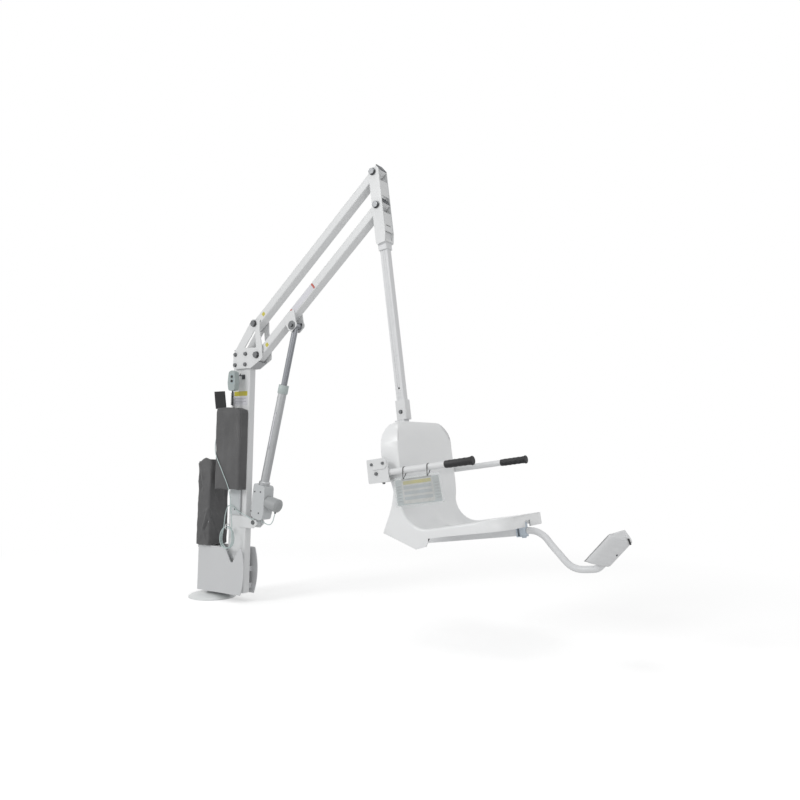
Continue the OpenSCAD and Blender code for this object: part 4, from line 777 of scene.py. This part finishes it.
# each side of the cover takes the creases of the front or of the side list, weaker on the far sides
def batteryShift(x, y, z, nx, ny, k):
    s = batteryCover
    out = 0.0
    for facing, marks, across, share, spread in ((-ny, "front", x, 1.5, 0.8), (nx, "side", y, 1.5, 0.8),
                                                 (-nx, "side", -y, 0.7, 1),
                                                 (ny, "front", -x - 42, 0.6, 1)):
        if facing > 0.3:
            for a, b, deep, width in s[marks]:
                out += share * deep * crease((across, z), a, b, width * spread)
    out += s["folds"] * wrinkle(x, y, z, 55, 1.0) + s["puckers"] * wrinkle(x, y, z, 24, 5.0)
    peak = smooth(1 - abs(x + 18) / 30) * 0.9 - smooth((-x - 40) / 25) * 1.4
    peak *= s["peak"] * smooth((k - 0.93) / 0.07)
    hem = s["hemWave"] * math.sin(y / 15.0 + x / 11.0) * (1 - smooth(k / 0.05))
    return nx * out, ny * out, peak * (0.4 if ny > 0 else 1) + max(hem, 0)


clothSleeve("batteryCover", batteryCover, batteryOutline, batteryShift, "coverCloth", "mast",
            "battery_cover")
print("battery cover made")

seatMiddle = Vector((1.3658, 0, 1.0369))
seatTilt = math.radians(8.13)


def onSeat(u, y, v):
    c, s = math.cos(seatTilt), math.sin(seatTilt)
    return seatMiddle + Vector((u * c - v * s, y, u * s + v * c)) * mm


def onLine(origin, lean, s, n, y):
    c, k = math.cos(lean), math.sin(lean)
    return Vector((origin[0] + s * c - n * k, y, origin[1] + s * k + n * c)) * mm


# thin plate from an outline of points, pushed along a direction
def plate(name, outline, push, material, body, ease=0.0):
    n = len(outline)
    verts = [Vector(p) for p in outline] + [Vector(p) + push for p in outline]
    faces = [tuple(range(n)), tuple(range(2 * n - 1, n - 1, -1))]
    faces += [(i, (i + 1) % n, n + (i + 1) % n, n + i) for i in range(n)]
    obj = addMesh(name, verts, faces, material, body)
    soften(obj, ease * mm, 40, 2)
    return obj


def softBox(a0, a1, b0, b1, r, steps=4):
    out = []
    for cx, cy, start in ((a1 - r, b0 + r, -90), (a1 - r, b1 - r, 0), (a0 + r, b1 - r, 90),
                          (a0 + r, b0 + r, 180)):
        for k in range(steps + 1):
            w = math.radians(start + 90 * k / steps)
            out.append((cx + r * math.cos(w), cy + r * math.sin(w)))
    return out


# webbing strap of the control cover: one loop, its fold on top
strap = {"left": -26.5, "right": 62.5, "low": -7, "high": 97, "gap": 0.75, "cloth": 1.1, "lean": 10.5,
         "foot": (93, -84.5, 1124)}


def strapPoint(u, y, z):
    x0, y0, z0 = strap["foot"]
    return Vector((x0 + u - z * math.tan(math.radians(strap["lean"])), y0 + y, z0 + z)) * mm


def makeStrap(s):
    profile = []
    for k in range(13):
        z = s["low"] + (s["high"] - 1 - s["low"]) * k / 12
        profile.append((-s["gap"] - 0.5 * math.sin(math.pi * k / 12), z))
    for k in range(1, 4):
        a = math.pi * k / 4
        profile.append((-s["gap"] * math.cos(a), s["high"] - 1 + math.sin(a)))
    for k in range(13):
        z = s["high"] - 1 - (s["high"] - 1 - s["low"]) * k / 12
        profile.append((s["gap"] + 0.3 * math.sin(math.pi * k / 12), z))
    across = 10
    verts, faces = [], []
    for i in range(across + 1):
        u = s["left"] + (s["right"] - s["left"]) * i / across
        for y, z in profile:
            wave = 0.5 * math.sin(u / 14 + z / 40)
            verts.append(strapPoint(u, y + wave, z))
    rows = len(profile)
    for i in range(across):
        for j in range(rows - 1):
            a = i * rows + j
            faces.append((a, a + 1, a + 1 + rows, a + rows))
    obj = addMesh("coverStrap", verts, faces, "strapCloth", "mast")
    solid = obj.modifiers.new("cloth", "SOLIDIFY")
    solid.thickness = s["cloth"] * mm
    solid.offset = 0
    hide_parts("cover_strap")
    return obj


makeStrap(strap)

# document pouch: front and back film with a welded rim, two cards between them
pouch = {"corners": [(98, -434), (355, -433), (346, -298), (98, -300)], "middle": -303.0, "puff": 1.3,
         "film": 0.25, "wide": 257, "tall": 135, "rim": 3}


def pouchPoint(a, b, y):
    p, q, r, s = pouch["corners"]
    u = (p[0] * (1 - a) + q[0] * a) * (1 - b) + (s[0] * (1 - a) + r[0] * a) * b
    v = (p[1] * (1 - a) + q[1] * a) * (1 - b) + (s[1] * (1 - a) + r[1] * a) * b
    return onSeat(u, y, v)


def makeFilm(name, side, replaced=None):
    s = pouch
    across, up = 34, 18
    verts, faces = [], []
    for j in range(up + 1):
        for i in range(across + 1):
            a, b = i / across, j / up
            inside = min(min(a, 1 - a) * s["wide"], min(b, 1 - b) * s["tall"])
            apart = smooth((inside - s["rim"]) / 14)
            ripple = 0.35 * wrinkle(a * s["wide"], 0, b * s["tall"], 24, 2.0 + side)
            verts.append(pouchPoint(a, b, s["middle"] - side * (0.2 + apart * (s["puff"] + ripple))))
    for j in range(up):
        for i in range(across):
            k = j * (across + 1) + i
            faces.append((k, k + 1, k + across + 2, k + across + 1))
    obj = addMesh(name, verts, faces, "clearFilm", "armrest_near")
    solid = obj.modifiers.new("film", "SOLIDIFY")
    solid.thickness = s["film"] * mm
    solid.offset = 0
    if replaced:
        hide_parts(replaced)
    return obj


makeFilm("pouchFront", 1, "document_pouch")
makeFilm("pouchBack", -1)


def cardPiece(name, a0, a1, b0, b1, y, material, thick=0.25):
    outline = [pouchPoint(a, b, y) for a, b in softBox(a0, a1, b0, b1, 0.012, 2)]
    return plate(name, outline, Vector((0, -thick * mm, 0)), material, "armrest_near")


cardPiece("pouchBackCard", 0.03, 0.97, 0.04, 0.90, -302.55, "backCard", 0.2)
cardPiece("pouchCard", 0.17, 0.83, 0.08, 0.93, -302.9, "cardPaper", 0.25)
cardPiece("cardBand", 0.20, 0.80, 0.72, 0.84, -303.18, "labelYellow", 0.08)
cardPiece("cardTop", 0.18, 0.82, 0.87, 0.91, -303.18, "labelInk", 0.08)
for n, (b0, b1) in enumerate(((0.56, 0.67), (0.38, 0.49), (0.20, 0.31))):
    cardPiece("cardField%d" % n, 0.20, 0.80, b0, b1, -303.18, "fieldGrey", 0.08)
for n, b in enumerate((0.16, 0.26, 0.36, 0.46, 0.56, 0.66)):
    cardPiece("backLineLeft%d" % n, 0.05, 0.145, b, b + 0.025, -302.78, "labelInk", 0.06)
    cardPiece("backLineRight%d" % n, 0.855, 0.95, b, b + 0.025, -302.78, "labelInk", 0.06)
print("strap and pouch made")

# plain coloured labels, just proud of the tube faces
mastFace, armFace, labelThick = -25.05, -30.05, 0.25
lowerPivot, upperPivot = (347, 1432), (320, 1621)
for name, box, material in (("mastBand", (158, 266, 1194, 1222, 5), "labelYellow"),
                            ("mastPanel", (151, 269, 1137, 1190, 5), "labelFilm")):
    outline = [Vector((x, mastFace, z)) * mm for x, z in softBox(*box)]
    plate(name, outline, Vector((0, -0.3 * mm, 0)), material, "mast")
for n, (z, x1) in enumerate(((1178, 255), (1169, 240), (1160, 258), (1151, 232))):
    outline = [Vector((x, mastFace - labelThick, z0)) * mm for x, z0 in softBox(160, x1, z, z + 3, 1)]
    plate("mastLine%d" % n, outline, Vector((0, -0.12 * mm, 0)), "labelInk", "mast")
armLean = math.atan2(757.6, 854.5)
armLabels = [
    ("lowerPatch", "lower_arm", lowerPivot, (80, 102, -17, 5), "labelYellow", armFace),
    ("upperPatch", "upper_arm", upperPivot, (72, 94, -14, 8), "labelYellow", armFace),
    ("armPanel", "lower_arm", lowerPivot, (346, 560, -18, 19), "labelFilm", armFace),
    ("armBarLow", "lower_arm", lowerPivot, (346, 358, -18, 19), "labelRed", armFace - labelThick),
    ("armBarHigh", "lower_arm", lowerPivot, (548, 560, -18, 19), "labelRed", armFace - labelThick)]
for name, body, origin, (s0, s1, n0, n1), material, y in armLabels:
    outline = [onLine(origin, armLean, s, n, y) for s, n in softBox(s0, s1, n0, n1, 2.5)]
    plate(name, outline, Vector((0, -labelThick * mm, 0)), material, body)


def tubePatch(name, a0, a1, z0, z1, radius, material):
    verts, faces = [], []
    across, up = 8, 6
    for r in (radius, radius + 0.25):
        for j in range(up + 1):
            for i in range(across + 1):
                a = math.radians(a0 + (a1 - a0) * i / across)
                verts.append(onActuator(r * math.cos(a), r * math.sin(a), z0 + (z1 - z0) * j / up))
    count = (across + 1) * (up + 1)
    for j in range(up):
        for i in range(across):
            k = j * (across + 1) + i
            faces += [(k, k + 1, k + across + 2, k + across + 1),
                      (count + k, count + k + across + 1, count + k + across + 2, count + k + 1)]
    edge = (list(range(across + 1)) + [j * (across + 1) + across for j in range(1, up + 1)]
            + [up * (across + 1) + i for i in range(across - 1, -1, -1)]
            + [j * (across + 1) for j in range(up - 1, 0, -1)])
    for a, b in zip(edge, edge[1:] + edge[:1]):
        faces.append((a, b, count + b, count + a))
    return addMesh(name, verts, faces, material, "actuator")


tubePatch("tubeLabel", -103, -80, 438, 650, 25.02, "labelFilm")
tubePatch("tubeLabelEdge", -80, -75, 430, 658, 25.02, "labelInk")
lathe("collarSleeve", [(0.02905, 0), (0.0295, 0.0004), (0.0295, 0.0482), (0.02905, 0.0486)],
      onActuator(0, 0, 762.7), onActuator(0, 0, 1) - onActuator(0, 0, 0), "collarGrey", "actuator",
      48, False)
print("labels made")

# key field of the handset, small screws on the gear case
handset = {"place": (208, 1282), "turn": math.radians(6), "face": -98.02}


def onHandset(x, z, y):
    c, s = math.cos(handset["turn"]), math.sin(handset["turn"])
    return Vector((handset["place"][0] + x * c - z * s, y, handset["place"][1] + x * s + z * c)) * mm


def keyField():
    outer = softBox(-17, 15, -20, 38, 6)
    inner = softBox(-11.5, 9.5, -15, 33, 5)
    n = len(outer)
    steps = ((outer, 0), (outer, 0.5), (inner, 0.5), (inner, 0))
    verts = [onHandset(x, z, handset["face"] - d) for ring, d in steps for x, z in ring]
    faces = []
    for r in range(3):
        for i in range(n):
            j = (i + 1) % n
            faces.append((r * n + i, r * n + j, (r + 1) * n + j, (r + 1) * n + i))
    return addMesh("keyField", verts, faces, "keypad", "mast")


keyField()


def screw(name, centre, axis, radius, material, body):
    r = radius * mm
    profile = [(r, 0), (r, 0.4 * r), (r * 0.92, 0.62 * r), (r * 0.55, 0.72 * r), (r * 0.5, 0.35 * r),
               (r * 0.02, 0.3 * r)]
    return lathe(name, profile, centre, axis, material, body, 20)


for n, (x, z) in enumerate(((-26, 62), (34, 66), (-26, 176), (18, 186))):
    screw("caseScrew%d" % n, onActuator(x, -37.9, z), (0, -1, 0), 4.2, "darkPlastic", "actuator")

# footrest pad: black strip, tab and plug, each where a ray from the camera first meets the pad.
# The ray goes through a point given on the plane at sightY.
pad = nodes["footrest_pad"]
sightY = -100


def hitPad(x, z):
    start = Vector(camera["place"])
    way = Vector((x, sightY, z)) * mm - start
    turn = pad.matrix_world.inverted()
    found, spot, normal, _ = pad.ray_cast(turn @ start, (turn.to_3x3() @ way).normalized())
    if not found:
        print("pad missed at", x, z)
        return Vector((x, sightY, z)) * mm, Vector((0, -1, 0))
    return pad.matrix_world @ spot, (pad.matrix_world.to_3x3() @ normal).normalized()


def padBox(name, x0, z0, long, wide, high, lean, material, sink=1.0):
    spot, normal = hitPad(x0, z0)
    a = math.radians(lean) + seatTilt
    along = Vector((math.cos(a), 0, math.sin(a)))
    along = (along - normal * along.dot(normal)).normalized()
    across = normal.cross(along)
    flat = softBox(-long / 2, long / 2, -wide / 2, wide / 2, wide * 0.4)
    outline = [spot - normal * sink * mm + along * x * mm + across * z * mm for x, z in flat]
    return plate(name, outline, normal * (high + sink) * mm, material, "footrest", 0.6)


# each mark: sight point x and z, length, width, height, lean and material
padMarks = {"padStrip": (2527, 522, 28, 7, 4, -50, "blackPlastic"),
            "padTab": (2518, 538, 20, 12, 6, 40, "padPlastic"),
            "padPlug": (2475, 464, 8, 7, 2, 40, "darkPlastic")}
for name, settings in padMarks.items():
    padBox(name, *settings)
print("small parts made")


# pale floor, light and surroundings
floor = {"centre": (0.9, 0, 0), "reach": 9.0, "drop": -0.0004, "rings": 10, "sides": 64, "lift": 0.42,
         "fade": (2.0, 3.6)}


def makeFloor():
    rings, sides = floor["rings"], floor["sides"]
    x0 = floor["centre"][0]
    verts, faces = [(x0, 0, floor["drop"])], []
    for j in range(1, rings + 1):
        r = floor["reach"] * (j / rings) ** 1.6
        for k in range(sides):
            a = 2 * math.pi * k / sides
            verts.append((x0 + r * math.cos(a), r * math.sin(a), floor["drop"]))
    for k in range(sides):
        faces.append((0, 1 + k, 1 + (k + 1) % sides))
    for j in range(rings - 1):
        for k in range(sides):
            a, b = 1 + j * sides + k, 1 + j * sides + (k + 1) % sides
            faces.append((a, a + sides, b + sides, b))
    mesh = bpy.data.meshes.new("floor")
    mesh.from_pydata(verts, [], faces)
    obj = bpy.data.objects.new("floor", mesh)
    bpy.context.scene.collection.objects.link(obj)
    mat = bpy.data.materials.new("floor")
    mat.use_nodes = True
    tree = mat.node_tree
    tree.nodes.clear()
    out = tree.nodes.new("ShaderNodeOutputMaterial")
    diffuse = tree.nodes.new("ShaderNodeBsdfDiffuse")
    diffuse.inputs[0].default_value = (0.86, 0.86, 0.86, 1)
    lift = tree.nodes.new("ShaderNodeEmission")
    white = tree.nodes.new("ShaderNodeEmission")
    white.inputs[1].default_value = 1.0
    path = tree.nodes.new("ShaderNodeLightPath")
    seen = path.outputs["Is Camera Ray"]
    link(tree, calc(tree, "MULTIPLY", seen, floor["lift"]), lift.inputs[1])
    add = tree.nodes.new("ShaderNodeAddShader")
    link(tree, diffuse.outputs[0], add.inputs[0])
    link(tree, lift.outputs[0], add.inputs[1])
    far = tree.nodes.new("ShaderNodeVectorMath")
    far.operation = "DISTANCE"
    link(tree, objectCoords(tree), far.inputs[0])
    far.inputs[1].default_value = floor["centre"]
    fade = calc(tree, "MULTIPLY", rampNode(tree, far.outputs["Value"], *floor["fade"]), seen)
    mix = tree.nodes.new("ShaderNodeMixShader")
    link(tree, fade, mix.inputs[0])
    link(tree, add.outputs[0], mix.inputs[1])
    link(tree, white.outputs[0], mix.inputs[2])
    link(tree, mix.outputs[0], out.inputs[0])
    mesh.materials.append(mat)


def makeWorld(ambient):
    world = bpy.data.worlds.new("studio")
    bpy.context.scene.world = world
    world.use_nodes = True
    tree = world.node_tree
    back = tree.nodes["Background"]
    back.inputs[0].default_value = (1, 1, 1, 1)
    path = tree.nodes.new("ShaderNodeLightPath")
    shown = calc(tree, "MAXIMUM", path.outputs["Is Camera Ray"], path.outputs["Is Glossy Ray"])
    shown = calc(tree, "MAXIMUM", shown, path.outputs["Is Transmission Ray"])
    link(tree, calc(tree, "MULTIPLY_ADD", shown, 1.0 - ambient, ambient), back.inputs[1])


def addLight(name, place, aim, size, power):
    data = bpy.data.lights.new(name, "AREA")
    data.shape = "DISK"
    data.size = size
    data.energy = power
    obj = bpy.data.objects.new(name, data)
    bpy.context.scene.collection.objects.link(obj)
    obj.visible_camera = False
    obj.location = place
    obj.rotation_euler = (Vector(place) - Vector(aim)).to_track_quat("Z", "Y").to_euler()


# each light: where it stands, what it points at, its size and its power
studio = {"ambient": 0.50, "lights": {"key": ((-2.6, -8.2, 5.2), (1.0, 0, 1.4), 3.6, 250),
                                      "top": ((0.6, -0.6, 7.0), (1.0, 0, 0.6), 3.0, 50),
                                      "front": ((5.6, -2.6, 1.6), (1.4, 0, 0.8), 2.6, 25)}}

makeFloor()
makeWorld(studio["ambient"])
for name, settings in studio["lights"].items():
    addLight(name, *settings)
bpy.context.scene.view_settings.view_transform = "Standard"
print("floor and light made")
